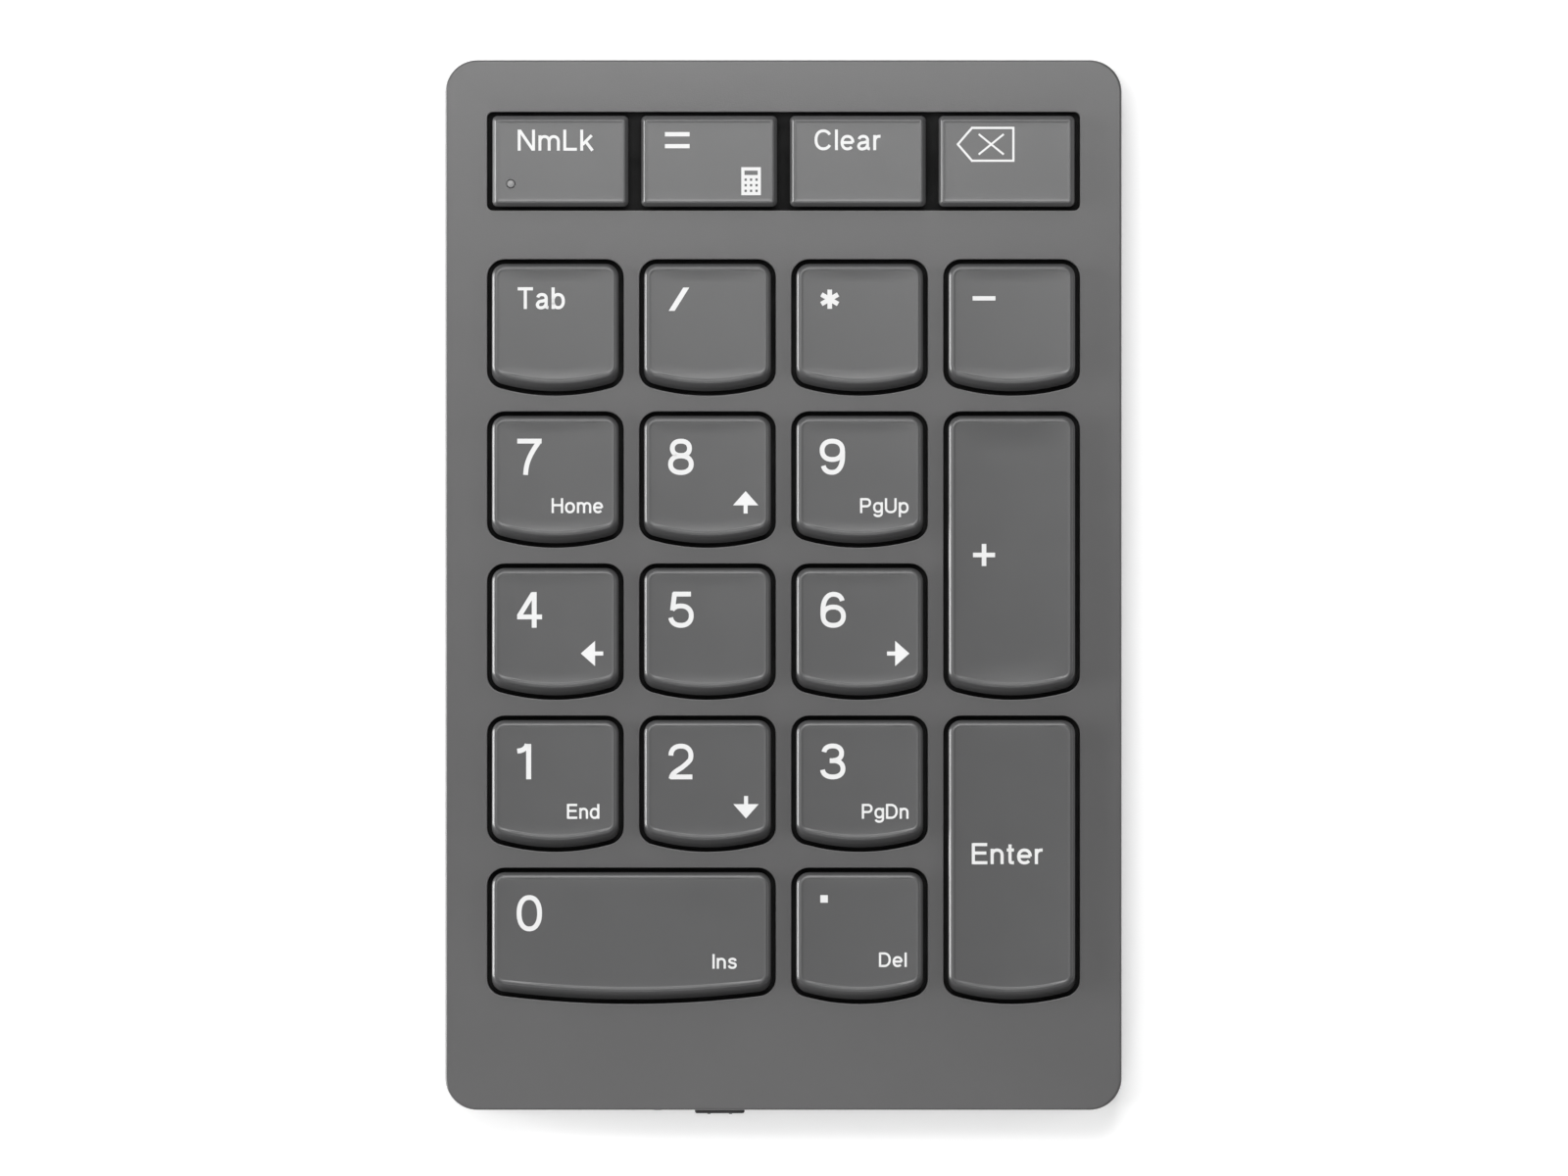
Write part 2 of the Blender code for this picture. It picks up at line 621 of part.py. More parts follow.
def make_screws(parts, cutters, steel):
    """Four pan-head screws with a cross recess, heads down under the feet."""
    radius, height = SCREW_HEAD
    screw = new_object("screw", cones_mesh([(0, 0)], radius - 0.15 * MM, radius, (0, height)), cutters)
    shank_z = (height - 0.1 * MM, SHANK_TOP - HEAD_TOP + height)
    join(screw, cones_mesh([(0, 0)], SHANK_RADIUS, SHANK_RADIUS, shank_z, 12), cutters)
    for long_x, long_y in ((1.0 * MM, 0.22 * MM), (0.22 * MM, 1.0 * MM)):
        cut(screw, box_mesh((-long_x, -long_y, -MM), (long_x, long_y, 0.35 * MM)), cutters)
    mesh = applied_mesh(screw)
    names = ("screw_front_left", "screw_front_right", "screw_rear_left", "screw_rear_right")
    for name, (x, y) in zip(names, screw_spots()):
        new_object(name, mesh, parts, (x, y, HEAD_TOP - height), steel)


# Controls and electronics ------------------------------------------------------------------------------
def make_mode_slider(parts, cutters, plastic):
    """Thumb slider: a knob through the front slot, with a flange behind the wall and a tongue."""
    half_x, half_z = SLIDER_SIZE[0] / 2, SLIDER_SIZE[1] / 2
    inside = WALL + GAP
    end = 0.5 * MM
    outline = (
        arc((half_x - end, end - SLIDER_PROUD), end, 270, 360, 4)
        + [(half_x, inside + 0.4 * MM), (-half_x, inside + 0.4 * MM)]
        + arc((end - half_x, end - SLIDER_PROUD), end, 180, 270, 4)
    )
    place = (SLIDER_X, -CASE_LENGTH / 2, CONTROL_Z)
    knob = new_object("mode_slider", slab_mesh([outline], (-half_z, half_z)), parts, place, plastic)
    flange = ((-half_x - 0.8 * MM, inside, -1.7 * MM), (half_x + 0.8 * MM, inside + 0.8 * MM, 1.5 * MM))
    tongue = ((-0.6 * MM, inside + 0.6 * MM, -1.5 * MM), (0.6 * MM, inside + 1.7 * MM, -0.5 * MM))
    for low, high in (flange, tongue):
        mesh = box_mesh(low, high)
        mesh.transform(Matrix.Translation(place))
        join(knob, mesh, cutters)


def make_pairing_button(parts, cutters, plastic):
    """Small round button in the front wall, with a flange inside and a plunger behind it."""
    place = (BUTTON_X, -CASE_LENGTH / 2, CONTROL_Z)
    inside = WALL + GAP
    rod = rod_mesh(BUTTON_RADIUS, (-BUTTON_PROUD, inside + 0.3 * MM))
    button = new_object("pairing_button", rod, parts, place, plastic)
    for radius, y_range in ((1.3, (inside, inside + 0.6 * MM)), (0.5, (inside + 0.3 * MM, 3.5 * MM))):
        mesh = rod_mesh(radius * MM, y_range)
        mesh.transform(Matrix.Translation(place))
        join(button, mesh, cutters)


def make_circuit_board(parts, cutters, laminate):
    """Circuit board on the left, with tabs to the controls and the socket, and its soldered parts."""
    low, high = CIRCUIT_BOARD
    main_board = box_mesh((-38.0 * MM, -58.8 * MM, low), (5.0 * MM, 58.8 * MM, high))
    board = new_object("circuit_board", main_board, parts, finish=laminate)
    for x0, x1, y0, y1 in ((-22.0, -2.0, -61.9, -58.0), (-8.0, 5.0, 58.0, 61.9)):
        join(board, box_mesh((x0 * MM, y0 * MM, low), (x1 * MM, y1 * MM, high)), cutters)
    soldered = (
        # low corner, high corner and top, in millimetres
        ((-12.5, -61.6), (-3.5, -58.6), 6.0),  # slide switch
        ((-17.6, -61.9), (-14.0, -58.6), 7.4),  # push switch behind the pairing button
        ((-24.0, -8.0), (-16.0, 0.0), 5.1),  # radio and key scanning chip
        ((-30.0, -52.4), (-22.0, -49.0), 5.3),  # connector of the membrane's tail
        ((0.0, 20.0), (4.6, 26.0), 5.3),  # battery connector
    )
    bm = bmesh.new()
    for (x0, y0), (x1, y1), top in soldered:
        add_box(bm, (x0 * MM, y0 * MM, high - 0.2 * MM), (x1 * MM, y1 * MM, top * MM))
    join(board, mesh_from(bm, "soldered_parts"), cutters)


def make_battery(parts, foil):
    """Flat rechargeable pouch cell beside the circuit board."""
    outline = rounded_rectangle(30 * MM, 52 * MM, 1.2 * MM, steps=2)
    z_range = (FLOOR_TOP + GAP, FLOOR_TOP + GAP + 3.0 * MM)
    new_object("battery", slab_mesh([outline], z_range), parts, (23.2 * MM, 0, 0), foil)


def make_charging_socket(parts, cutters, steel):
    """Oval charging socket in the rear wall, a thin shell with a contact tongue."""
    rear = CASE_LENGTH / 2 - 0.2 * MM
    front = rear - SOCKET_DEPTH
    socket = new_object("charging_socket", socket_prism(0, (front, rear)), parts, finish=steel)
    cut(socket, socket_prism(-SOCKET_SKIN, (front + 0.8 * MM, rear + MM)), cutters)
    low = (-3.3 * MM, front + 0.4 * MM, SOCKET_Z - 0.35 * MM)
    join(socket, box_mesh(low, (3.3 * MM, rear - 0.6 * MM, SOCKET_Z + 0.35 * MM)), cutters)


def main():
    clear_scene()
    parts = new_collection("numeric_keypad")
    cutters = new_collection("cutters")
    case_plastic = material("case_plastic", (0.16, 0.16, 0.162), 0.45)
    key_plastic = material("key_plastic", (0.14, 0.14, 0.142), 0.4)
    base_plastic = material("base_plastic", (0.03, 0.03, 0.032), 0.5)
    frame_plastic = material("frame_plastic", (0.6, 0.6, 0.58), 0.5)
    rubber = material("foot_rubber", (0.02, 0.02, 0.02), 0.85)
    silicone = material("dome_silicone", (0.5, 0.5, 0.5), 0.6)
    film = material("membrane_film", (0.02, 0.02, 0.02), 0.3)
    laminate = material("board_laminate", (0.01, 0.09, 0.03), 0.4)
    foil = material("battery_foil", (0.5, 0.5, 0.52), 0.35, 0.7)
    steel = material("steel", (0.35, 0.35, 0.36), 0.35, 1.0)
    black_steel = material("plate_steel", (0.02, 0.02, 0.02), 0.5)
    lens = material("lens", (0.6, 0.6, 0.6), 0.3)

    make_keycaps(parts, cutters, key_plastic)
    make_num_lock_lens(parts, cutters, lens)
    make_levers(parts, frame_plastic)
    make_key_plate(parts, cutters, black_steel)
    make_dome_sheet(parts, cutters, silicone)
    make_membrane(parts, cutters, film)
    make_top_cover(parts, cutters, case_plastic)
    make_bottom_cover(parts, cutters, base_plastic)
    make_feet(parts, rubber)
    make_screws(parts, cutters, steel)
    make_mode_slider(parts, cutters, base_plastic)
    make_pairing_button(parts, cutters, base_plastic)
    make_circuit_board(parts, cutters, laminate)
    make_battery(parts, foil)
    make_charging_socket(parts, cutters, steel)


main()
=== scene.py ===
import math

import bmesh
import bpy
from mathutils import Matrix, Vector


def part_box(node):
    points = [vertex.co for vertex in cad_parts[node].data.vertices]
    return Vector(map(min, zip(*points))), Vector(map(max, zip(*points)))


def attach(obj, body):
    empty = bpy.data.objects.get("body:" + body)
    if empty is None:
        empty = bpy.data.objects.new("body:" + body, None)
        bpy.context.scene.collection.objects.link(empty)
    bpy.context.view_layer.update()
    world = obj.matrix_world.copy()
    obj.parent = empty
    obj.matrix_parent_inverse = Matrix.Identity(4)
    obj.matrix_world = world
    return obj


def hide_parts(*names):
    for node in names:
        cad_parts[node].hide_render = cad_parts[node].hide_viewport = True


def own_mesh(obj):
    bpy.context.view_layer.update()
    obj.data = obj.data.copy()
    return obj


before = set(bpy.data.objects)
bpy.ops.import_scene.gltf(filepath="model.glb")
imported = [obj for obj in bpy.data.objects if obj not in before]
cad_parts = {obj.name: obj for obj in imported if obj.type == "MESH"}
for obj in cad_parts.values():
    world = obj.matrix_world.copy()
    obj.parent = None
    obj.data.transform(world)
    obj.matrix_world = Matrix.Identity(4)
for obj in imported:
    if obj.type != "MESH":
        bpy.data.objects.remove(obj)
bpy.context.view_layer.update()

# Looks of the numeric keypad. Everything is in metres, in the CAD's frame: +X right, +Y away, +Z up.
MM = 0.001
CAP_HEIGHT = 2.5 * MM
CAP_SKIN = 0.9 * MM
FRONT_SLOPE = 0.65 * MM  # how far a cap's front wall leans back
DISH = 0.12 * MM  # depth of the trough in a cap's top
LEAN = 0.18 * MM  # how much lower a cap's rear edge is than its front
CREST = 0.022 * MM  # how far the cap's top drops just inside its crest
CAP_GAP = 0.55 * MM  # between a cap and its opening
WELL_CORNER = 2.2 * MM
FUNCTION_CORNER = 0.7 * MM
FUNCTION_OPENING = (74.2 * MM, 12.3 * MM)
# How far the middle of a cap's front edge lies before its ends.
FRONT_RISE = {"single": 1.45 * MM, "tall": 1.45 * MM, "wide": 1.25 * MM}
ARM = 9.6 * MM  # between the two bars of a lever
BAR_WIDTH = 1.0 * MM
HOOK_HALF = 0.6 * MM  # half of a hook's width
HOOK_SKIN = 0.3 * MM
HOOK_DROP = 1.7 * MM  # from a cap's ceiling down to its hooks' tips
# From a key's middle to each of its hooks.
HOOK_OFFSET = {"single": 3.4 * MM, "function": 1.2 * MM, "wide": 12.0 * MM, "tall": 12.0 * MM}
WALL = 1.6 * MM
LEDGE = 1.4 * MM  # extra thickness of the walls above the key plate
TOP_SKIN = 1.5 * MM
CASE_CORNER = 4 * MM
SLIDER_HALF = (3.125 * MM, 1.0 * MM)  # half of the knob, along X and Z
SLIDER_TRAVEL = 1.5 * MM  # each way
SLIDER_PROUD = 0.6 * MM
RIM_ROUND = 0.3 * MM
OPENING_ROUND = 0.12 * MM
BASE_ROUND = 0.5 * MM
GAP = 0.3 * MM  # between the case's inner parts
PLATE_DEPTH = 2.6 * MM  # from the case's top down to the key plate's
PLATE_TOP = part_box("top_cover")[1].z - PLATE_DEPTH
KEY_NAMES = [n.removeprefix("keycap_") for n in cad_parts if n.startswith("keycap_")]
KINDS = {"0": "wide", "plus": "tall", "enter": "tall"}
KINDS.update({n: "function" for n in ("num_lock", "equals", "clear", "backspace")})


def middle_of(node):
    low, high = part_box(node)
    return (low + high) / 2


def kind_of(name):
    return KINDS.get(name, "single")


def key_centre(name):
    low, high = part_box(f"keycap_{name}")
    return Vector(((low.x + high.x) / 2, (low.y + high.y) / 2, high.z - CAP_HEIGHT))


# Materials -------------------------------------------------------------------------------------------
NOISE_RANGE = (0.35, 0.65)  # where most of a noise's values lie
SHADE_SCALE = 60  # slow drifts of shade, in features per metre
GLOSS_SCALE = 240


def new_material(name, colour, roughness, metallic=0.0, **sockets):
    made = bpy.data.materials.new(name)
    made.use_nodes = True
    shader = made.node_tree.nodes["Principled BSDF"]
    shader.inputs["Base Color"].default_value = (*colour, 1)
    shader.inputs["Roughness"].default_value = roughness
    shader.inputs["Metallic"].default_value = metallic
    for socket, value in sockets.items():
        shader.inputs[socket.replace("_", " ")].default_value = value
    return made


def noise(tree, scale, detail, roughness=0.5, stretch=(1, 1, 1)):
    """Noise in object space, with its features about 1/scale metres across."""
    nodes, links = tree.nodes, tree.links
    place = nodes.new("ShaderNodeTexCoord")
    mapping = nodes.new("ShaderNodeMapping")
    mapping.inputs["Scale"].default_value = stretch
    texture = nodes.new("ShaderNodeTexNoise")
    texture.inputs["Scale"].default_value = scale
    texture.inputs["Detail"].default_value = detail
    texture.inputs["Roughness"].default_value = roughness
    links.new(place.outputs["Object"], mapping.inputs["Vector"])
    links.new(mapping.outputs["Vector"], texture.inputs["Vector"])
    return texture.outputs["Fac"]


def ramp(tree, value, low, high):
    """Maps a noise to a number or colour between low and high."""
    node = tree.nodes.new("ShaderNodeValToRGB")
    for element, position, shade in zip(node.color_ramp.elements, NOISE_RANGE, (low, high)):
        element.position = position
        element.color = (*shade, 1) if hasattr(shade, "__len__") else (shade, shade, shade, 1)
    tree.links.new(value, node.inputs["Fac"])
    return node.outputs["Color"]


def add_bump(tree, value, depth):
    bump = tree.nodes.new("ShaderNodeBump")
    bump.inputs["Distance"].default_value = depth
    bump.inputs["Strength"].default_value = 1.0
    tree.links.new(value, bump.inputs["Height"])
    tree.links.new(bump.outputs["Normal"], tree.nodes["Principled BSDF"].inputs["Normal"])


def textured(
    name, colour, roughness, grain, depth, variation, spread, metallic=0.0, stretch=(1, 1, 1), **more
):
    """A moulded or drawn surface: fine grain in the bump, slow drifts of shade and gloss."""
    made = new_material(name, colour, roughness, metallic, **more)
    tree = made.node_tree
    shader = tree.nodes["Principled BSDF"]
    slow = noise(tree, SHADE_SCALE, 2)
    darker = [c * (1 - variation) for c in colour]
    lighter = [c * (1 + variation) for c in colour]
    tree.links.new(ramp(tree, slow, darker, lighter), shader.inputs["Base Color"])
    worn = noise(tree, GLOSS_SCALE, 5, 0.6, stretch)
    tree.links.new(ramp(tree, worn, roughness - spread, roughness + spread), shader.inputs["Roughness"])
    add_bump(tree, noise(tree, grain, 4, 0.6, stretch), depth)
    return made


def banded(made, colour, low, high):
    """Another colour where the object's height lies between low and high."""
    nodes, links = made.node_tree.nodes, made.node_tree.links
    place = nodes.new("ShaderNodeTexCoord")
    split = nodes.new("ShaderNodeSeparateXYZ")
    links.new(place.outputs["Object"], split.inputs[0])
    both = nodes.new("ShaderNodeMath")
    both.operation = "MULTIPLY"
    for i, (operation, limit) in enumerate((("GREATER_THAN", low), ("LESS_THAN", high))):
        test = nodes.new("ShaderNodeMath")
        test.operation = operation
        test.inputs[1].default_value = limit
        links.new(split.outputs["Z"], test.inputs[0])
        links.new(test.outputs[0], both.inputs[i])
    mix = nodes.new("ShaderNodeMix")
    mix.data_type = "RGBA"
    mix.inputs["B"].default_value = (*colour, 1)
    base = nodes["Principled BSDF"].inputs["Base Color"]
    links.new(both.outputs[0], mix.inputs["Factor"])
    links.new(base.links[0].from_socket, mix.inputs["A"])
    links.new(mix.outputs["Result"], base)


# Each finish: name, colour, roughness, grain in features per metre, depth of the bump in metres, and how
# far its shade and its gloss drift.
CASE = textured("case_satin", (0.064, 0.063, 0.064), 0.3, 5200, 0.000008, 0.02, 0.01)
KEYCAP = textured("keycap_satin", (0.054, 0.054, 0.055), 0.3, 6500, 0.000005, 0.02, 0.01)
INK = textured("legend_ink", (0.62, 0.62, 0.62), 0.5, 9000, 0.000003, 0.02, 0.03)
BASE = textured("base_matt", (0.035, 0.035, 0.037), 0.55, 2600, 0.00003, 0.08, 0.06)
RUBBER = textured("foot_rubber", (0.018, 0.018, 0.018), 0.8, 3400, 0.00004, 0.12, 0.06)
CONTROL = textured("control_black", (0.008, 0.008, 0.008), 0.45, 4200, 0.00001, 0.1, 0.06)
# The button's own grey; the slider's ribs also take it, as a painted highlight on the black knob.
BUTTON_AND_RIB_HIGHLIGHT = textured("button_grey_and_rib_highlight", (0.2, 0.2, 0.2), 0.42, 4200, 0.00001, 0.06, 0.05)
LEVER = textured("lever_acetal", (0.68, 0.68, 0.65), 0.45, 3000, 0.00001, 0.03, 0.05)
DOME = textured("dome_silicone", (0.6, 0.6, 0.6), 0.6, 2600, 0.00002, 0.05, 0.06, Transmission_Weight=0.2)
PLATE = textured(
    "plate_black", (0.006, 0.006, 0.006), 0.6, 1800, 0.00001, 0.15, 0.08, Specular_IOR_Level=0.15
)
FILM = textured("membrane_film", (0.03, 0.03, 0.034), 0.3, 500, 0.000006, 0.2, 0.08)
BOARD = textured("board_mask", (0.012, 0.09, 0.035), 0.35, 900, 0.00001, 0.15, 0.06)
FOIL = textured("battery_foil", (0.52, 0.52, 0.54), 0.35, 700, 0.00006, 0.08, 0.1, metallic=0.8)
STEEL = textured("socket_steel", (0.55, 0.55, 0.56), 0.3, 1500, 0.000006, 0.05, 0.08, 1.0, (1, 8, 8))
SCREW = textured("screw_zinc", (0.6, 0.6, 0.6), 0.33, 2500, 0.000006, 0.08, 0.08, 1.0)
LENS = textured("lens_clear", (0.26, 0.26, 0.26), 0.3, 1500, 0.000004, 0.04, 0.03, Transmission_Weight=0.3)
BOARD_THICKNESS = 1.05 * MM  # what stands above it is a part on the board
board_low, board_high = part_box("circuit_board")
banded(BOARD, (0.02, 0.02, 0.021), board_low.z + BOARD_THICKNESS, board_high.z + MM)
TONGUE_HALF = 0.38 * MM  # of the dark tongue in the charging socket
socket_low, socket_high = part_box("charging_socket")
socket_mid = (socket_low.z + socket_high.z) / 2
banded(STEEL, (0.015, 0.015, 0.015), socket_mid - TONGUE_HALF, socket_mid + TONGUE_HALF)


# Mesh tools -------------------------------------------------------------------------------------------
def new_piece(name, mesh, body, finish, *replaced, slot=None, smooth=40):
    mesh.shade_smooth()
    mesh.set_sharp_from_angle(angle=math.radians(smooth))
    mesh.materials.clear()
    mesh.materials.append(finish)
    piece = bpy.data.objects.new(name, mesh)
    bpy.context.scene.collection.objects.link(piece)
    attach(piece, body)
    if replaced:
        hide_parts(*replaced)
    return piece


def mesh_from(bm):
    """A mesh with its faces turned outwards; the bmesh is used up."""
    bmesh.ops.recalc_face_normals(bm, faces=bm.faces)
    mesh = bpy.data.meshes.new("made")
    bm.to_mesh(mesh)
    bm.free()
    return mesh


def add_rings(bm, rings, close_ends=True):
    """Walls through rings of equally many points; each end is closed with one flat face."""
    loops = [[bm.verts.new(p) for p in ring] for ring in rings]
    for low, high in zip(loops, loops[1:]):
        bridge(bm, low, high)
    if close_ends:
        for loop in (loops[0][::-1], loops[-1]):
            bm.faces.new(loop)
    return loops


def bridge(bm, a, b):
    """Quads between two loops of equally many points."""
    for i in range(len(a)):
        j = (i + 1) % len(a)
        bm.faces.new((a[i], a[j], b[j], b[i]))


FAN_ROWS = (0.8, 0.55, 0.3, 0.12)  # each row's distance from the middle, as a share of the loop's


def close_with_fan(bm, loop, height):
    """Rows of quads from a loop towards its middle, and a fan in the centre; height(x, y) gives z."""
    middle = sum((v.co for v in loop), Vector()) / len(loop)
    start = [v.co.copy() for v in loop]
    for share in FAN_ROWS:
        inner = []
        for p in start:
            x = middle.x + (p.x - middle.x) * share
            y = middle.y + (p.y - middle.y) * share
            inner.append(bm.verts.new((x, y, height(x, y))))
        bridge(bm, loop, inner)
        loop = inner
    centre = bm.verts.new((middle.x, middle.y, height(middle.x, middle.y)))
    for i, v in enumerate(loop):
        bm.faces.new((v, loop[(i + 1) % len(loop)], centre))


def boolean(mesh, other, operation="DIFFERENCE"):
    """The first mesh with the second cut from it or joined on, as a new mesh."""
    objects = []
    for part in (mesh, other):
        obj = bpy.data.objects.new("boolean", part)
        bpy.context.scene.collection.objects.link(obj)
        objects.append(obj)
    modifier = objects[0].modifiers.new("Boolean", "BOOLEAN")
    modifier.operation = operation
    modifier.solver = "EXACT"
    modifier.object = objects[1]
    graph = bpy.context.evaluated_depsgraph_get()
    made = bpy.data.meshes.new_from_object(objects[0].evaluated_get(graph))
    for obj in objects:
        bpy.data.objects.remove(obj)
    return made


def prism(outline, z0, z1):
    bm = bmesh.new()
    add_rings(bm, [[(x, y, z) for x, y in outline] for z in (z0, z1)])
    return mesh_from(bm)


def circle(centre, radius, z, segments=24):
    angles = [2 * math.pi * i / segments for i in range(segments)]
    return [(centre.x + radius * math.cos(a), centre.y + radius * math.sin(a), z) for a in angles]


def turned(profile, segments=32, centre=(0, 0, 0), axis="Z"):
    """A solid of revolution; the profile's points are (radius, height), and each end is closed flat."""
    bm = bmesh.new()
    add_rings(bm, [circle(Vector(), radius, z, segments) for radius, z in profile])
    mesh = mesh_from(bm)
    if axis == "Y":
        mesh.transform(Matrix.Rotation(math.pi / 2, 4, "X"))
    mesh.transform(Matrix.Translation(centre))
    return mesh


def box_mesh(low, high, round_edge=0.0, segments=2):
    low, high = Vector(low), Vector(high)
    bm = bmesh.new()
    shape = Matrix.Translation((low + high) / 2) @ Matrix.Diagonal((*(high - low), 1))
    bmesh.ops.create_cube(bm, size=1, matrix=shape)
    if round_edge:
        bmesh.ops.bevel(
            bm, geom=list(bm.edges), offset=round_edge, segments=segments, profile=0.5, affect="EDGES"
        )
    return mesh_from(bm)


def merged(meshes):
    bm = bmesh.new()
    for mesh in meshes:
        bm.from_mesh(mesh)
    return mesh_from(bm)


def cad_copy(node):
    """The CAD node's mesh with its split corners joined and its flat faces whole."""
    same_place, same_plane = 0.0005 * MM, 0.01
    bm = bmesh.new()
    bm.from_mesh(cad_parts[node].data)
    bmesh.ops.remove_doubles(bm, verts=bm.verts, dist=same_place)
    bmesh.ops.dissolve_limit(bm, angle_limit=same_plane, verts=bm.verts, edges=bm.edges)
    return bm


def round_edges(bm, chosen, width, segments):
    """Rounds the sharp edges that the test picks by their two ends."""
    sharp = 0.6  # radians between the two faces
    whole = [e for e in bm.edges if len(e.link_faces) == 2]
    edges = [e for e in whole if e.calc_face_angle() > sharp and chosen(*(v.co for v in e.verts))]
    bmesh.ops.bevel(bm, geom=edges, offset=width, segments=segments, profile=0.5, affect="EDGES")


def even_normals(piece):
    """Keeps the large flat faces flat beside their rounded edges."""
    modifier = piece.modifiers.new("WeightedNormal", "WEIGHTED_NORMAL")
    modifier.keep_sharp = True


# Outlines ---------------------------------------------------------------------------------------------
def arc(cx, cy, radius, start, end, steps):
    turns = [math.radians(start + (end - start) * i / steps) for i in range(steps + 1)]
    return [(cx + radius * math.cos(t), cy + radius * math.sin(t)) for t in turns]


def between(a, b, steps):
    """The points strictly between two points."""
    return [
        (a[0] + (b[0] - a[0]) * i / steps, a[1] + (b[1] - a[1]) * i / steps) for i in range(1, steps)
    ]


def key_outline(width, length, corner, rise, inward=0.0, lift=0.0, centre=(0, 0)):
    """A key from above, anticlockwise; with a rise its front edge is an arc that bulges forwards."""
    steps = 7
    half, top = width / 2 - inward, length / 2 - inward
    bottom = -length / 2 + inward + lift
    r = max(corner - inward, 0.12 * MM)
    across = half - r
    if rise:
        radius = ((width / 2) ** 2 + rise**2) / (2 * rise) - inward
        arc_y = bottom + radius
        corner_y = arc_y - math.sqrt((radius - r) ** 2 - across**2)
        lean = math.degrees(math.atan2(across, arc_y - corner_y))
        front = arc(0, arc_y, radius, 270 - lean, 270 + lean, 20)[1:-1]
    else:
        corner_y, lean = bottom + r, 0.0
        front = between((-across, bottom), (across, bottom), 12)
    right_top = arc(across, top - r, r, 0, 90, steps)
    left_top = arc(-across, top - r, r, 90, 180, steps)
    left_front = arc(-across, corner_y, r, 180, 270 - lean, steps)
    right_front = arc(across, corner_y, r, 270 + lean, 360, steps)
    points = right_top + between(right_top[-1], left_top[0], 12) + left_top
    points += between(left_top[-1], left_front[0], 6) + left_front + front + right_front
    points += between(right_front[-1], right_top[0], 6)
    return [(x + centre[0], y + centre[1]) for x, y in points]


def round_rectangle(width, length, corner, centre=(0, 0), steps=8):
    x, y = width / 2 - corner, length / 2 - corner
    points = []
    for cx, cy, start in ((x, y, 0), (-x, y, 90), (-x, -y, 180), (x, -y, 270)):
        points += arc(centre[0] + cx, centre[1] + cy, corner, start, start + 90, steps)
    return points


# Keycaps ----------------------------------------------------------------------------------------------
def cap_sizes(name):
    low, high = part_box(f"keycap_{name}")
    return high.x - low.x, high.y - low.y


def lean_back(y, length):
    """How far the cap's top drops towards its rear edge."""
    return LEAN * (y / length + 0.5)


def dish_depth(kind, x, width):
    """How far the cap's top lies below its crest: a shallow trough along Y, none on the function keys."""
    if kind == "function":
        return CREST
    rim = 0.6 * MM
    share = min(abs(x) / (width / 2 - rim), 1.0)
    return CREST + DISH * (1 - share**2)


# How a cap's wall turns into its top: pairs of distance inwards and drop from the crest, in millimetres.
EDGES = {
    "function": (
        (0.06, 0.52), (0.09, 0.47), (0.38, 0.13), (0.44, 0.075), (0.52, 0.025), (0.6, 0.004), (0.66, 0),
    ),
    "other": ((0.07, 0.34), (0.1, 0.3), (0.3, 0.115), (0.36, 0.07), (0.44, 0.04), (0.6, 0.006), (0.66, 0)),
}
# How the top turns into its dish: pairs of distance inwards from the crest, in millimetres, and share of
# the dish's depth.
INTO_DISH = ((0.06, 0.15), (0.18, 0.9), (0.3, 1.0))
CAP_CHAMFER = 0.12 * MM  # at the foot of a cap's wall


def cap_mesh(name):
    kind = kind_of(name)
    width, length = cap_sizes(name)
    corner, rise, slope, start = FUNCTION_CORNER, 0.0, 0.0, 0.0
    edge = EDGES["function"]
    if kind != "function":
        # The cap's outline is the opening's, moved inwards.
        width, length = width + 2 * CAP_GAP, length + 2 * CAP_GAP
        corner, rise, slope, start = WELL_CORNER, FRONT_RISE[kind], FRONT_SLOPE, CAP_GAP
        edge = EDGES["other"]
    span = width - 2 * start

    def ring(inward, z, lift=0.0, dished=0.0):
        outline = key_outline(width, length, corner, rise, start + inward, lift)
        return [(x, y, z - dished * dish_depth(kind, x, span)) for x, y in outline]

    bm = bmesh.new()
    rings = [
        ring(CAP_SKIN, CAP_HEIGHT - CAP_SKIN, slope),
        ring(CAP_SKIN, 0, slope),
        ring(CAP_CHAMFER, 0),
        ring(0.0, CAP_CHAMFER),
    ]
    for inward, drop in edge:
        rings.append(ring(inward * MM, CAP_HEIGHT - drop * MM, slope))
    crest = edge[-1][0] * MM
    for inward, dished in INTO_DISH:
        rings.append(ring(crest + inward * MM, CAP_HEIGHT, slope, dished))
    loops = add_rings(bm, rings, close_ends=False)
    close_with_fan(bm, loops[-1], lambda x, y: CAP_HEIGHT - dish_depth(kind, x, span))
    close_with_fan(bm, loops[0], lambda x, y: CAP_HEIGHT - CAP_SKIN)
    top_zone = CAP_HEIGHT - 0.6 * MM
    for v in bm.verts:
        if v.co.z > top_zone:
            v.co.z -= lean_back(v.co.y, length)
    return merged([mesh_from(bm), hooks_mesh(kind)])


def hooks_mesh(kind):
    """The two L-shaped hooks under a cap that hold its lever's lifting bar."""
    forward, across = Vector((0, -1, 0)), Vector((1, 0, 0))
    if kind in ("tall", "function"):
        forward, across = Vector((1, 0, 0)), Vector((0, 1, 0))
    ceiling = CAP_HEIGHT - CAP_SKIN
    root, tip = ceiling + 0.2 * MM, ceiling - HOOK_DROP
    post = BAR_WIDTH / 2 + GAP
    outside, lip = post + 0.5 * MM, -BAR_WIDTH / 2
    inner = tip + HOOK_SKIN
    profile = ((post, root), (outside, root), (outside, tip), (lip, tip), (lip, inner), (post, inner))
    bm = bmesh.new()
    for side in (-1, 1):
        middle = forward * (ARM / 2 - 0.05 * MM) + across * side * HOOK_OFFSET[kind]
        rings = [
            [middle + across * end + forward * u + Vector((0, 0, z)) for u, z in profile]
            for end in (-HOOK_HALF, HOOK_HALF)
        ]
        add_rings(bm, rings)
    return mesh_from(bm)


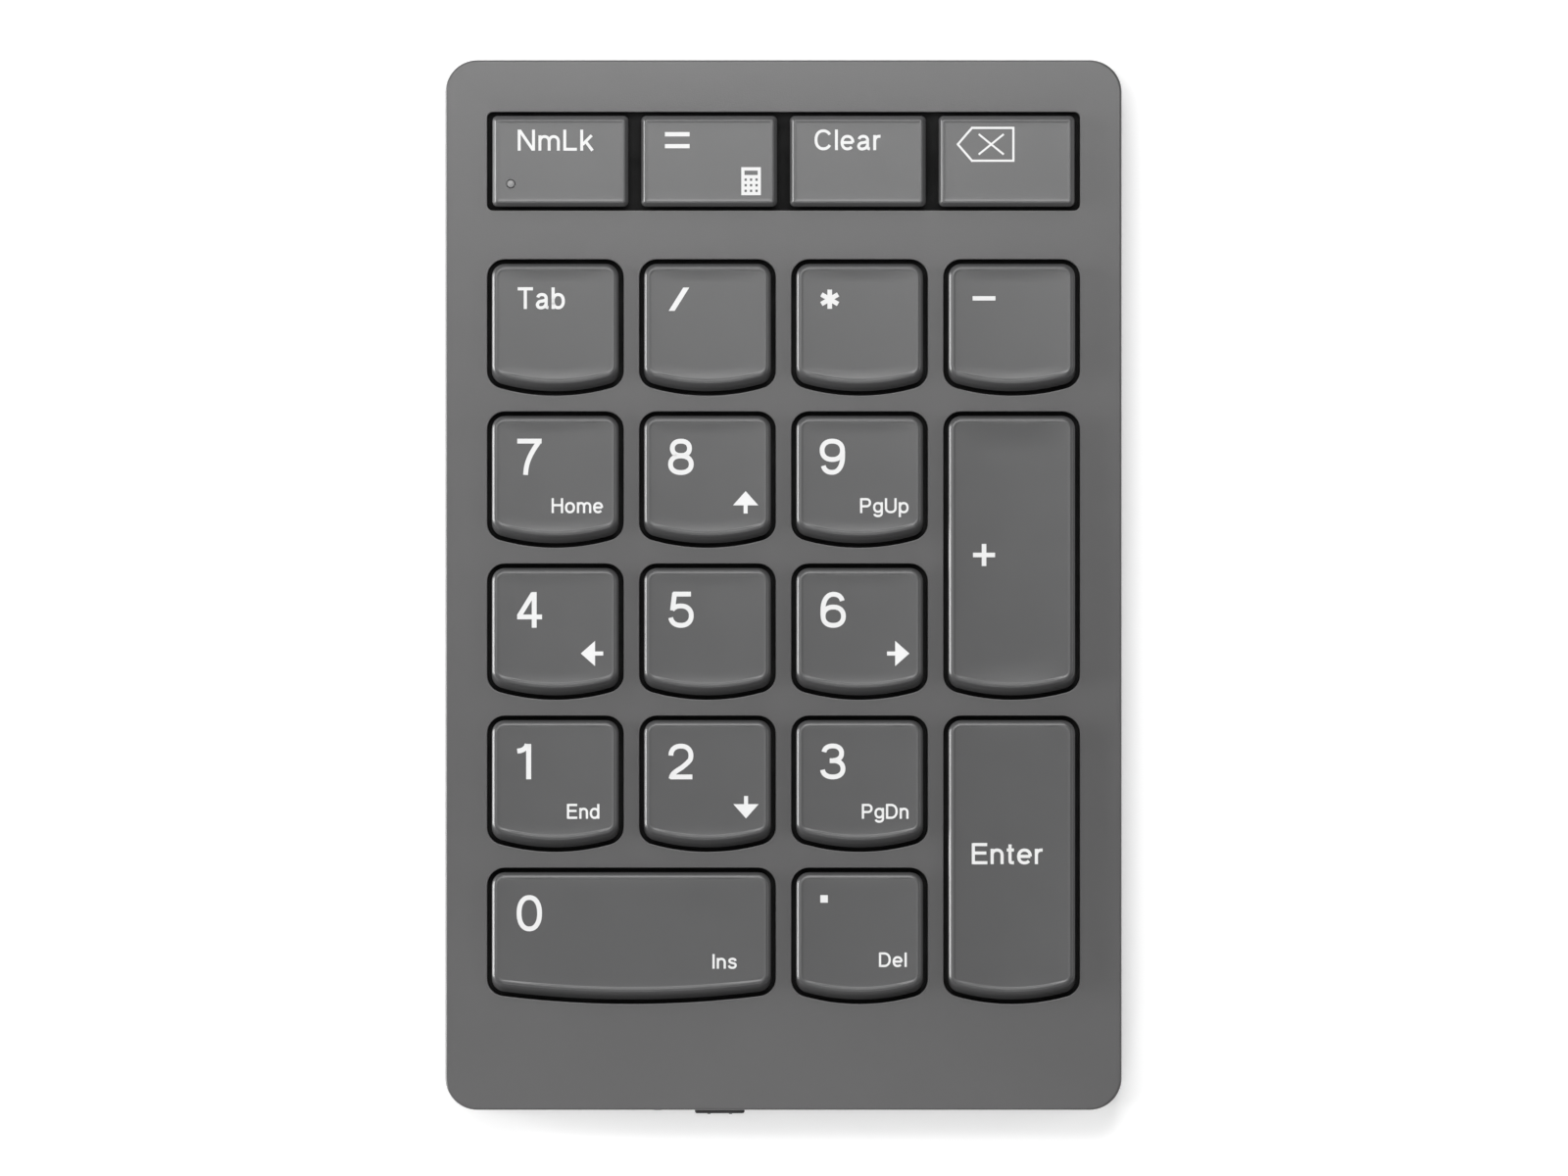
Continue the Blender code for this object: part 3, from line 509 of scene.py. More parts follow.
def make_keycaps():
    lens_low, lens_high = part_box("num_lock_lens")
    lens = middle_of("num_lock_lens")
    for name in KEY_NAMES:
        mesh = cap_mesh(name)
        centre = key_centre(name)
        mesh.transform(Matrix.Translation(centre))
        if name == "num_lock":
            top, bore, flare = centre.z + CAP_HEIGHT, 0.56 * MM, 0.7 * MM
            profile = [(bore, centre.z), (bore, top - 0.1 * MM), (flare, top + 0.05 * MM)]
            mesh = boolean(mesh, turned(profile, centre=(lens.x, lens.y, 0)))
        new_piece(f"cap_{name}", mesh, f"key_{name}", KEYCAP, f"keycap_{name}", slot="key_plastic")
    make_lens(lens, lens_low.z, lens_high.z)


def make_lens(centre, low, high):
    """The lamp's light pipe, with a flange under the cap and a slightly domed end."""
    pipe, flange, dome = 0.48 * MM, 0.75 * MM, 0.1 * MM
    shoulder = high - 0.12 * MM
    profile = [(flange - 0.03 * MM, low), (flange, low + 0.1 * MM), (flange, low + 0.4 * MM)]
    profile += [(pipe, low + 0.42 * MM), (pipe, shoulder)]
    profile += [(pipe * math.cos(t), shoulder + dome * math.sin(t)) for t in (0.4, 0.8, 1.2, 1.5)]
    mesh = turned(profile, centre=(centre.x, centre.y, 0))
    new_piece("lamp_lens", mesh, "key_num_lock", LENS, "num_lock_lens", slot="lens_plastic")


# Legends ----------------------------------------------------------------------------------------------
# A glyph is its width and its strokes, in hundredths of the capital height. A stroke is a list of points
# for a pen of even width, and its round stretches are bows.
def bow(cx, cy, rx, ry, start, end):
    """Points along a slightly squared ellipse: its centre, its radii, and two angles."""

    def squared(value):
        return math.copysign(abs(value) ** 0.9, value)

    steps = max(3, round(abs(end - start) / 11))
    turns = [math.radians(start + (end - start) * i / steps) for i in range(steps + 1)]
    return [(cx + rx * squared(math.cos(t)), cy + ry * squared(math.sin(t))) for t in turns]


SIX = [
    bow(37, 69, 25.5, 24, 12, 90) + bow(37, 47, 30, 46, 95, 180) + [(7, 33)],
    bow(36.5, 32, 29, 25.5, 0, 360),
]
GLYPHS = {
    "0": (72, [bow(36, 50, 29, 43.5, 0, 360)]),
    "1": (42, [[(34.5, 0), (34.5, 99)], [(2, 79), (12, 80.5), (21, 84.5), (28, 92), (30, 99)]]),
    "2": (
        72,
        [
            bow(36, 66.5, 28, 26.5, 180, -25) + [(52, 44), (38, 32.5), (22, 22), (12, 12), (8.5, 1)],
            [(6, 6.5), (68, 6.5)],
        ],
    ),
    "3": (72, [bow(35.5, 73, 25, 20.5, 172, -88), bow(35.5, 29.5, 29, 23, 88, -174), [(27, 52), (38, 52)]]),
    "4": (73, [[(51, 0), (51, 99)], [(9, 33), (48, 95)], [(3, 30), (73, 30)]]),
    "5": (72, [[(14, 93.5), (64, 93.5)], [(18.5, 97), (12.5, 48)], bow(36, 33.5, 29, 27, 146, -170)]),
    "6": (72, SIX),
    "7": (72, [[(2, 93.5), (70, 93.5)], [(63, 92), (49, 72), (36, 48), (28, 24), (25, 0)]]),
    "8": (72, [bow(36, 73.5, 24, 20, 0, 360), bow(36, 29.5, 29, 23, 0, 360)]),
    "9": (72, [[(72 - x, 100 - y) for x, y in stroke] for stroke in SIX]),
    "N": (79, [[(7, 0), (7, 100)], [(72, 0), (72, 100)], [(9, 97), (70, 3)]]),
    "L": (62, [[(7, 0), (7, 100)], [(7, 6.5), (62, 6.5)]]),
    "C": (87, [bow(44, 50, 37, 43.5, 33, 327)]),
    "T": (78, [[(0, 93.5), (78, 93.5)], [(39, 0), (39, 95)]]),
    "H": (78, [[(7, 0), (7, 100)], [(71, 0), (71, 100)], [(7, 53), (71, 53)]]),
    "E": (72, [[(7, 0), (7, 100)], [(7, 93.5), (71, 93.5)], [(7, 53), (67, 53)], [(7, 6.5), (72, 6.5)]]),
    "P": (73, [[(7, 0), (7, 100)], [(7, 93.5)] + bow(41, 69.5, 25, 24, 90, -90) + [(7, 45.5)]]),
    "U": (78, [[(7, 100)] + bow(39, 34, 32, 27.5, 180, 360) + [(71, 100)]]),
    "D": (80, [[(7, 0), (7, 100)], [(7, 93.5)] + bow(34, 50, 39, 43.5, 90, -90) + [(7, 6.5)]]),
    "I": (14, [[(7, 0), (7, 100)]]),
    "m": (
        98,
        [
            [(7, 0), (7, 73)],
            bow(28, 42, 21, 25, 180, 0) + [(49, 0)],
            bow(70, 42, 21, 25, 180, 0) + [(91, 0)],
        ],
    ),
    "n": (60, [[(7, 0), (7, 73)], bow(30, 42, 23, 25, 180, 0) + [(53, 0)]]),
    "k": (59, [[(7, 0), (7, 100)], [(11, 29), (52, 73)], [(26, 42), (56, 0)]]),
    "l": (14, [[(7, 0), (7, 100)]]),
    "e": (66, [bow(33, 36.5, 27, 30.5, 0, 318), [(7, 37), (60, 37)]]),
    "a": (
        66,
        [
            bow(31, 49, 21.5, 18, 168, 0) + [(52.5, 14), (55, 8), (64, 6)],
            [(52, 41), (34, 37), (16, 33), (7.5, 20), (13, 9), (26, 5.5), (42, 10), (52, 22)],
        ],
    ),
    "r": (36, [[(7, 0), (7, 73)], bow(30, 42, 23, 25, 180, 90) + [(36, 67)]]),
    "b": (65, [[(7, 0), (7, 100)], bow(33, 36.5, 26, 30.5, 0, 360)]),
    "d": (65, [[(58, 0), (58, 100)], bow(32, 36.5, 26, 30.5, 0, 360)]),
    "o": (67, [bow(33.5, 36.5, 27, 30.5, 0, 360)]),
    "p": (65, [[(7, -27), (7, 73)], bow(33, 36.5, 26, 30.5, 0, 360)]),
    "g": (64, [bow(32, 38, 25.5, 29, 0, 360), [(57.5, 73)] + bow(32, 0, 25.5, 20, 0, -165)]),
    "s": (
        58,
        [
            [
                (51, 53), (46, 63), (30, 67.5), (14, 63), (9.5, 53), (15, 44), (30, 39),
                (46, 34), (51.5, 22), (45, 10), (29, 5.5), (12, 10), (6.5, 22),
            ]
        ],
    ),
    "t": (34, [[(15, 94), (15, 18), (19, 8), (33, 6.5)], [(0, 67.5), (33, 67.5)]]),
}
LETTER_GAP = 15
SUNK = 0.03 * MM  # how far the ink reaches into the cap
RAISED = 0.012 * MM  # how far a pen stroke stands above it
SHAPE_RAISED = 0.013 * MM
LETTER_STEP = 0.0006 * MM  # each stroke of a word is this much higher, so that none share a surface
STEP = 0.0008 * MM  # the same for the strokes and shapes of a sign


def smoothed(points):
    """A Catmull-Rom curve through the points, cut finely only where they lie far apart."""
    far, cuts = 7, 3
    if len(points) < 3:
        return points
    out = []
    closed = (Vector(points[0]) - Vector(points[-1])).length < 0.01
    for i in range(len(points) - 1):
        b, c = Vector(points[i]), Vector(points[i + 1])
        a = Vector(points[i - 1]) if i else (Vector(points[-2]) if closed else b * 2 - c)
        if i + 2 < len(points):
            d = Vector(points[i + 2])
        else:
            d = Vector(points[1]) if closed else c * 2 - b
        steps = cuts if (c - b).length > far else 1
        for k in range(steps):
            t = k / steps
            square = (2 * a - 5 * b + 4 * c - d) * t * t
            cube = (3 * b - a - 3 * c + d) * t**3
            p = 0.5 * (2 * b + (c - a) * t + square + cube)
            out.append((p.x, p.y))
    return out + [points[-1]]


def pen_stroke(bm, points, pen, level, height):
    """A closed ribbon of even width along the points, in metres, lying on the surface height(x, y)."""
    longest = 0.5 * MM
    line = [Vector(points[0])]
    for point in points[1:]:
        gap = (Vector(point) - line[-1]).length
        steps = max(1, round(gap / longest))
        start = line[-1].copy()
        line += [start.lerp(Vector(point), k / steps) for k in range(1, steps + 1)]
    closed = (line[0] - line[-1]).length < 0.003 * MM
    if closed:
        line.pop()
    count = len(line)
    rows = []
    for i, p in enumerate(line):
        before = line[i - 1] if closed or i else p
        after = line[(i + 1) % count] if closed or i + 1 < count else p
        along = (after - before).normalized()
        side = Vector((-along.y, along.x)) * pen / 2
        row = []
        for q, z in ((p + side, level), (p - side, level), (p - side, -SUNK), (p + side, -SUNK)):
            row.append(bm.verts.new((q.x, q.y, height(q.x, q.y) + z)))
        rows.append(row)
    for i in range(count if closed else count - 1):
        a, b = rows[i], rows[(i + 1) % count]
        for k in range(4):
            bm.faces.new((a[k], a[(k + 1) % 4], b[(k + 1) % 4], b[k]))
    if not closed:
        bm.faces.new(rows[0][::-1])
        bm.faces.new(rows[-1])


def write_text(bm, text, left, base, width, capital, pen, height):
    """Letters of this capital height, spread to the given width; sizes in millimetres."""
    total = sum(GLYPHS[c][0] for c in text) + LETTER_GAP * (len(text) - 1)
    across, up = width / total, capital / 100
    x = 0
    level = RAISED
    for character in text:
        advance, strokes = GLYPHS[character]
        for stroke in strokes:
            level += LETTER_STEP
            points = smoothed(stroke)
            placed = [((left + (x + px) * across) * MM, (base + py * up) * MM) for px, py in points]
            pen_stroke(bm, placed, pen * MM, level, height)
        x += advance + LETTER_GAP


def add_polygon(bm, points, height, level=SHAPE_RAISED):
    """A thin flat shape; its points are in millimetres, anticlockwise."""
    rings = []
    for z in (-SUNK, level):
        rings.append([(x * MM, y * MM, height(x * MM, y * MM) + z) for x, y in points])
    add_rings(bm, rings)


def add_bar(bm, x0, y0, x1, y1, height, level=SHAPE_RAISED):
    """A rectangle, cut into short lengths so that it follows the dish."""
    short = 0.6
    pieces = max(1, round((x1 - x0) / short))
    for i in range(pieces):
        a, b = x0 + (x1 - x0) * i / pieces, x0 + (x1 - x0) * (i + 1) / pieces
        add_polygon(bm, [(a, y0), (b, y0), (b, y1), (a, y1)], height, level)


def add_arrow(bm, cx, cy, turn, height):
    """A solid head with a short stem, pointing up and then turned by so many degrees."""
    half, tip, neck, tail, stem = 1.58, 1.05, -0.38, -1.4, 0.25
    head = [(-half, neck), (half, neck), (0, tip + 0.35)]
    body = [(-stem, tail), (stem, tail), (stem, neck + 0.1), (-stem, neck + 0.1)]
    c, s = math.cos(math.radians(turn)), math.sin(math.radians(turn))
    for i, shape in enumerate((head, body)):
        points = [(cx + x * c - y * s, cy + x * s + y * c) for x, y in shape]
        add_polygon(bm, points, height, SHAPE_RAISED + STEP * i)


def add_calculator(bm, left, base, width, tall, height):
    """A pocket calculator: a grid of cells that leaves out a window and nine small keys."""
    xs = [0, 0.16, 0.28, 0.44, 0.56, 0.72, 0.84, 1]
    ys = [0, 0.11, 0.2, 0.31, 0.4, 0.51, 0.6, 0.72, 0.88, 1]
    for row in range(len(ys) - 1):
        for column in range(len(xs) - 1):
            small_key = row in (1, 3, 5) and column in (1, 3, 5)
            window = row == 7 and 1 <= column <= 5
            if small_key or window:
                continue
            x0, x1 = (left + width * x for x in xs[column : column + 2])
            y0, y1 = (base + tall * y for y in ys[row : row + 2])
            add_polygon(bm, [(x0, y0), (x1, y0), (x1, y1), (x0, y1)], height)


def add_erase_icon(bm, left, base, width, tall, height):
    """A tag shape that points left, with a cross in it."""
    pen = 0.27
    x0, x1, x2 = left + pen * 0.7, left + width * 0.27, left + width - pen / 2
    y0, y1 = base + pen / 2, base + tall - pen / 2
    middle = (y0 + y1) / 2
    corners = [(x0, middle), (x1, y0), (x2, y0), (x2, y1), (x1, y1)]
    for i, a in enumerate(corners):
        b = corners[(i + 1) % 5]
        run = Vector(b) - Vector(a)
        step = run.normalized() * pen * 0.42
        start, end = Vector(a) - step, Vector(b) + step
        pen_stroke(bm, [tuple(start * MM), tuple(end * MM)], pen * MM, RAISED + STEP * i, height)
    cx, reach_x, reach_y = left + width * 0.6, width * 0.215, tall * 0.29
    for i, side in enumerate((-1, 1)):
        ends = [
            ((cx - reach_x) * MM, (middle - side * reach_y) * MM),
            ((cx + reach_x) * MM, (middle + side * reach_y) * MM),
        ]
        pen_stroke(bm, ends, pen * 0.9 * MM, RAISED + STEP * i, height)


# Each legend: text, left edge, baseline, width, capital height and pen width, in millimetres from the
# middle of the key's box.
TEXTS = {
    "num_lock": [("NmLk", -5.35, 1.2, 9.45, 2.62, 0.36)],
    "clear": [("Clear", -5.42, 1.26, 8.25, 2.58, 0.36)],
    "tab": [("Tab", -4.7, 2.3, 5.85, 2.7, 0.39)],
    "7": [("7", -4.84, 0.58, 3.22, 4.52, 0.6), ("Home", -0.44, -4.2, 6.4, 1.86, 0.275)],
    "8": [("8", -4.93, 0.58, 3.22, 4.52, 0.6)],
    "9": [("9", -4.98, 0.58, 3.16, 4.52, 0.6), ("PgUp", 0.07, -4.2, 6.04, 1.86, 0.275)],
    "4": [("4", -4.9, 0.5, 3.24, 4.5, 0.6)],
    "5": [("5", -4.93, 0.5, 3.22, 4.5, 0.6)],
    "6": [("6", -4.9, 0.5, 3.16, 4.5, 0.6)],
    "1": [("1", -4.84, 0.58, 1.84, 4.46, 0.62), ("End", 1.48, -4.36, 4.03, 1.84, 0.275)],
    "2": [("2", -4.93, 0.58, 3.22, 4.46, 0.6)],
    "3": [("3", -4.93, 0.58, 3.18, 4.46, 0.6), ("PgDn", 0.29, -4.36, 5.82, 1.84, 0.275)],
    "0": [("0", -14.36, 0.6, 3.18, 4.52, 0.6), ("Ins", 10.16, -4.08, 3.02, 1.82, 0.275)],
    "decimal": [("Del", 2.43, -3.86, 3.46, 1.8, 0.275)],
    "enter": [("Enter", -5.0, -0.52, 8.86, 2.62, 0.39)],
}
# Each arrow: its middle, and how far it is turned from straight up.
ARROWS = {"8": (4.78, -2.85, 0), "2": (4.83, -2.92, 180), "4": (4.6, -2.73, 90), "6": (4.83, -2.73, -90)}


def make_legend(name):
    kind = kind_of(name)
    span, length = cap_sizes(name)
    if kind != "function":
        length += 2 * CAP_GAP

    def height(x, y):
        return CAP_HEIGHT - dish_depth(kind, x, span) - lean_back(y, length)

    bm = bmesh.new()
    for text, *placing in TEXTS.get(name, []):
        write_text(bm, text, *placing, height)
    if name in ARROWS:
        x, y, turn = ARROWS[name]
        add_arrow(bm, x, y, turn, height)
    if name == "equals":
        add_bar(bm, -5.53, 2.98, -2.45, 3.52, height)
        add_bar(bm, -5.53, 1.5, -2.45, 2.02, height)
        add_calculator(bm, 4.03, -4.38, 2.44, 3.5, height)
    if name == "backspace":
        add_erase_icon(bm, -6.3, -0.2, 7.28, 4.38, height)
    if name == "divide":
        add_polygon(bm, [(-4.85, 2.06), (-4.1, 2.06), (-2.28, 4.98), (-3.03, 4.98)], height)
    if name == "minus":
        add_bar(bm, -4.9, 3.36, -2.05, 3.9, height)
    if name == "plus":
        add_bar(bm, -4.85, -0.2, -2.1, 0.36, height)
        add_bar(bm, -3.76, -1.3, -3.19, 1.46, height, SHAPE_RAISED + LETTER_STEP)
    if name == "decimal":
        add_bar(bm, -4.92, 4.18, -3.98, 5.12, height)
    if name == "multiply":
        for i, turn in enumerate((90, 30, 150)):
            reach = Vector((math.cos(math.radians(turn)), math.sin(math.radians(turn)))) * 1.2
            ends = [tuple((Vector((-3.74, 3.52)) + reach * s) * MM) for s in (-1, 1)]
            pen_stroke(bm, ends, 0.58 * MM, RAISED + STEP * i, height)
    mesh = mesh_from(bm)
    further_back = Vector((0, 0.1 * MM if kind == "function" else 0, 0))
    mesh.transform(Matrix.Translation(key_centre(name) + further_back))
    new_piece(f"legend_{name}", mesh, f"key_{name}", INK, smooth=20)


# Case ---------------------------------------------------------------------------------------------------
def make_top_shell():
    """The upper shell: key openings with eased rims, a rounded outer edge, walls, ledge and bosses."""
    low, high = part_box("top_cover")
    middle = (low + high) / 2
    width, length = high.x - low.x, high.y - low.y
    under_skin = high.z - TOP_SKIN
    outline = round_rectangle(width, length, CASE_CORNER, (middle.x, middle.y), 14)
    shell = prism(outline, low.z, high.z)
    openings = []
    for name in KEY_NAMES:
        kind = kind_of(name)
        if kind == "function":
            continue
        size = [side + 2 * CAP_GAP for side in cap_sizes(name)]
        centre = key_centre(name)
        points = key_outline(*size, WELL_CORNER, FRONT_RISE[kind], centre=(centre.x, centre.y))
        openings.append(prism(points, under_skin - MM, high.z + MM))
    row_y = key_centre("num_lock").y
    opening = round_rectangle(*FUNCTION_OPENING, FUNCTION_CORNER, (middle.x, row_y), 6)
    openings.append(prism(opening, under_skin - MM, high.z + MM))
    shell = boolean(shell, merged(openings))
    bm = bmesh.new()
    bm.from_mesh(shell)
    top = high.z - 0.01 * MM
    inner_x, inner_y = width / 2 - CASE_CORNER, length / 2 - CASE_CORNER

    def at_rim(a, b):
        return min(a.z, b.z) > top and all(abs(p.x) > inner_x or abs(p.y) > inner_y for p in (a, b))

    def at_opening(a, b):
        return min(a.z, b.z) > top and not at_rim(a, b)

    round_edges(bm, at_rim, RIM_ROUND, 4)
    round_edges(bm, at_opening, OPENING_ROUND, 2)
    shell = mesh_from(bm)
    for inward, z0, z1 in (
        (WALL, low.z - MM, PLATE_TOP + GAP),
        (WALL + LEDGE, low.z, under_skin),
    ):
        size = (width - 2 * inward, length - 2 * inward)
        inside = round_rectangle(*size, CASE_CORNER - inward, (middle.x, middle.y))
        shell = boolean(shell, prism(inside, z0, z1))
    bosses, holes = [], []
    boss, bore = 1.9 * MM, 1.0 * MM
    for node in ("screw_front_left", "screw_front_right", "screw_rear_left", "screw_rear_right"):
        a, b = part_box(node)
        centre = ((a.x + b.x) / 2, (a.y + b.y) / 2, 0)
        boss_top = high.z - TOP_SKIN / 2
        bosses.append(turned([(boss, low.z + GAP), (boss, boss_top)], centre=centre))
        holes.append(turned([(bore, low.z - MM), (bore, b.z + GAP)], 24, centre))
    shell = boolean(shell, merged(bosses), "UNION")
    shell = boolean(shell, merged(holes + control_openings(low, high)))
    piece = new_piece("top_shell", shell, "case", CASE, "top_cover", slot="case_plastic", smooth=35)
    even_normals(piece)


def control_openings(low, high):
    """Cutters for the slider's slot, the button's hole and the socket's opening."""
    slot_x = middle_of("mode_slider").x
    button = middle_of("pairing_button")
    socket = middle_of("charging_socket")
    port_low, port_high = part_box("charging_socket")
    around, socket_around = 0.25 * MM, 0.2 * MM
    slot_corner, hole_corner, port_corner = 0.5 * MM, 0.94 * MM, 1.75 * MM
    slot_size = (2 * (SLIDER_HALF[0] + SLIDER_TRAVEL + around), 2 * (SLIDER_HALF[1] + around))
    slot = round_rectangle(*slot_size, slot_corner, (slot_x, button.z))
    hole_size = 1.9 * MM
    hole = round_rectangle(hole_size, hole_size, hole_corner, (button.x, button.z))
    port_size = [side + 2 * socket_around for side in (port_high.x - port_low.x, port_high.z - port_low.z)]
    port = round_rectangle(*port_size, port_corner, (0, socket.z), 10)
    front, rear = (low.y - MM, low.y + WALL + MM), (high.y - WALL - MM, high.y + MM)
    cutters = []
    for outline, (y0, y1) in ((slot, front), (hole, front), (port, rear)):
        mesh = prism(outline, -y1, -y0)
        mesh.transform(Matrix.Rotation(math.pi / 2, 4, "X"))
        cutters.append(mesh)
    return cutters


def make_bottom_shell():
    """The lower shell with a rounded outer edge at the bottom."""
    low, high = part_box("bottom_cover")
    bm = cad_copy("bottom_cover")

    def on_outline(p):
        dx = max(abs(p.x) - (high.x - CASE_CORNER), 0)
        dy = max(abs(p.y) - (high.y - CASE_CORNER), 0)
        return abs(math.hypot(dx, dy) - CASE_CORNER) < 0.06 * MM

    def at_edge(a, b):
        return max(a.z, b.z) < low.z + 0.01 * MM and on_outline(a) and on_outline(b)

    round_edges(bm, at_edge, BASE_ROUND, 4)
    piece = new_piece("bottom_shell", mesh_from(bm), "case", BASE, "bottom_cover", slot="base_plastic")
    even_normals(piece)


def make_feet():
    """Two rubber strips with round ends; their rings are distance inwards in mm and share of the height."""
    for node, name in (("foot_front", "front_pad"), ("foot_rear", "rear_pad")):
        low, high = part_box(node)
        centre = middle_of(node)
        rings = []
        for inward, share in ((0.35, 0), (0.1, 0.1), (0, 0.35), (0, 1.0)):
            width, length = (side - 2 * inward * MM for side in (high.x - low.x, high.y - low.y))
            corner = length / 2 - 0.05 * MM
            outline = round_rectangle(width, length, corner, (centre.x, centre.y), 16)
            z = low.z + share * (high.z - low.z)
            rings.append([(x, y, z) for x, y in outline])
        bm = bmesh.new()
        add_rings(bm, rings)
        new_piece(name, mesh_from(bm), "case", RUBBER, node, slot="foot_rubber")


# Controls -------------------------------------------------------------------------------------------------
def make_slider():
    """The mode slider: a rounded knob with two raised ribs, its flange behind the wall and its tongue."""
    low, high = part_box("mode_slider")
    x, z = middle_of("mode_slider").x, middle_of("pairing_button").z
    front, (half_x, half_z) = low.y, SLIDER_HALF
    inside = front + SLIDER_PROUD + WALL + GAP
    face, knob_back = front + 0.1 * MM, inside + 0.2 * MM
    knob = box_mesh((x - half_x, face, z - half_z), (x + half_x, knob_back, z + half_z), 0.3 * MM, 4)
    flange = box_mesh((low.x, inside, low.z), (high.x, inside + 0.8 * MM, high.z), 0.15 * MM)
    tongue_low = (x - 0.6 * MM, inside + 0.5 * MM, z - 1.5 * MM)
    tongue = box_mesh(tongue_low, (x + 0.6 * MM, high.y, z - 0.5 * MM), 0.1 * MM)
    ribs = []
    spread, rib_half_x, rib_half_z = 1.35 * MM, 0.22 * MM, 0.8 * MM
    for rib_x in (x - spread, x + spread):
        rib_low = (rib_x - rib_half_x, front, z - rib_half_z)
        rib_high = (rib_x + rib_half_x, front + SLIDER_PROUD, z + rib_half_z)
        ribs.append(box_mesh(rib_low, rib_high, 0.1 * MM, 3))
    mesh = merged([knob, flange, tongue])
    new_piece("slider_knob", mesh, "mode_slider", CONTROL, "mode_slider", slot="control_plastic")
    # The ribs get a lighter grey than the knob they belong to: a painted highlight along them.
    new_piece("slider_ribs_painted_highlight", merged(ribs), "mode_slider", BUTTON_AND_RIB_HIGHLIGHT, "mode_slider", slot="control_plastic")


def make_button():
    """The round button: a slightly domed face, its flange and its plunger."""
    low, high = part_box("pairing_button")
    centre = middle_of("pairing_button")
    tail = low.y - high.y
    plunger, flange, face, dome = 0.5 * MM, 1.3 * MM, 0.8 * MM, 0.15 * MM
    profile = [(plunger, tail), (plunger, tail + 0.9 * MM), (flange - 0.05 * MM, tail + 0.95 * MM)]
    profile += [(flange, tail + MM), (flange, -2.05 * MM), (face - 0.02 * MM, -2.0 * MM)]
    profile += [(face, -dome - 0.01 * MM)]
    profile += [(face * math.cos(t), dome * (math.sin(t) - 1)) for t in (0.3, 0.6, 0.9, 1.2, 1.45)]
    mesh = turned(profile, 32, (centre.x, low.y, centre.z), "Y")
    new_piece("button_dome", mesh, "pairing_button", BUTTON_AND_RIB_HIGHLIGHT, "pairing_button", slot="button_plastic")


# Key stack ------------------------------------------------------------------------------------------------
# A dome's outside and inside from the sheet up, as pairs of radius and height in millimetres.
DOME_OUTSIDE = (
    (2.8, 0.0), (2.62, 0.35), (2.3, 0.9), (1.95, 2.0), (1.75, 2.9), (1.62, 3.6), (1.5, 4.0), (1.3, 4.2),
)
DOME_INSIDE = ((2.3, 0.0), (2.1, 0.3), (1.8, 0.9), (1.5, 1.9), (1.3, 2.6), (1.05, 3.1), (0.9, 3.3))


def make_domes():
    """The silicone sheet, and a hollow dome for each key."""
    low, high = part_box("dome_sheet")
    sheet_top = low.z + 0.3 * MM
    scale = (high.z - sheet_top) / DOME_OUTSIDE[-1][1]
    hole = DOME_INSIDE[0][0] * MM
    centres = {name: key_centre(name) for name in KEY_NAMES}
    sheet = box_mesh(low, (high.x, high.y, sheet_top))
    holes = [
        turned([(hole, low.z - MM), (hole, sheet_top + MM)], centre=(c.x, c.y, 0)) for c in centres.values()
    ]
    new_piece("dome_web", boolean(sheet, merged(holes)), "case", DOME, "dome_sheet", slot="dome_silicone")
    for name, centre in centres.items():
        bm = bmesh.new()
        skins = []
        for profile in (DOME_INSIDE, DOME_OUTSIDE):
            rings = [circle(centre, radius * MM, sheet_top + z * scale) for radius, z in profile]
            skins.append(add_rings(bm, rings, close_ends=False))
            bm.faces.new(skins[-1][-1])
        bridge(bm, skins[0][0], skins[1][0])
        piece = new_piece(f"dome_{name}", mesh_from(bm), "case", DOME, slot="dome_silicone")
        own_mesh(piece)


INNER_SPAN = {"single": 8.8 * MM, "function": 6.0 * MM, "wide": 26.0 * MM, "tall": 26.0 * MM}


def make_scissors():
    """Each key's inner frame, which crosses the outer lever."""
    reach, half, corner = 3.6 * MM, 0.35 * MM, 0.3 * MM
    for name in KEY_NAMES:
        kind = kind_of(name)
        centre = key_centre(name)
        span = INNER_SPAN[kind]
        bar = 0.5 * MM if kind == "function" else 0.8 * MM
        z0 = PLATE_TOP + 0.7 * MM
        z1 = centre.z + CAP_HEIGHT - CAP_SKIN - 0.65 * MM
        tilt = math.asin((z1 - z0) / (2 * reach))
        outer = round_rectangle(2 * reach + bar, span, corner, steps=3)
        inner = round_rectangle(2 * reach - bar, span - 2 * bar, corner, steps=3)
        walls = ((outer, -half), (outer, half), (inner, half), (inner, -half))
        bm = bmesh.new()
        loops = add_rings(bm, [[(x, y, z) for x, y in points] for points, z in walls], close_ends=False)
        bridge(bm, loops[-1], loops[0])
        mesh = mesh_from(bm)
        heading = 0 if kind in ("tall", "function") else -math.pi / 2
        turn = Matrix.Rotation(heading, 4, "Z") @ Matrix.Rotation(tilt, 4, "Y")
        mesh.transform(Matrix.Translation((centre.x, centre.y, (z0 + z1) / 2)) @ turn)
        piece = new_piece(f"scissor_inner_{name}", mesh, "case", LEVER, slot="lever_plastic")
        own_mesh(piece)


def finish_cad_nodes():
    """Better materials for the inner CAD nodes that stay as they are."""
    finishes = {
        "key_plate": PLATE,
        "contact_membrane": FILM,
        "circuit_board": BOARD,
        "battery": FOIL,
        "charging_socket": STEEL,
    }
    for name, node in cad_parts.items():
        finish = finishes.get(name)
        if name.startswith("scissor_lever"):
            finish = LEVER
        if name.startswith("screw"):
            finish = SCREW
        if finish:
            node.data.materials.clear()
            node.data.materials.append(finish)


# Stage ------------------------------------------------------------------------------------------------------
CAMERA_DISTANCE = 3.0
VIEW_WIDTH = 196.4 * MM  # what the camera sees across, at the level of the case's top
SENSOR = 36  # width, in millimetres
FLOOR_DROP = 0.05 * MM  # keeps the feet's undersides off the floor's plane


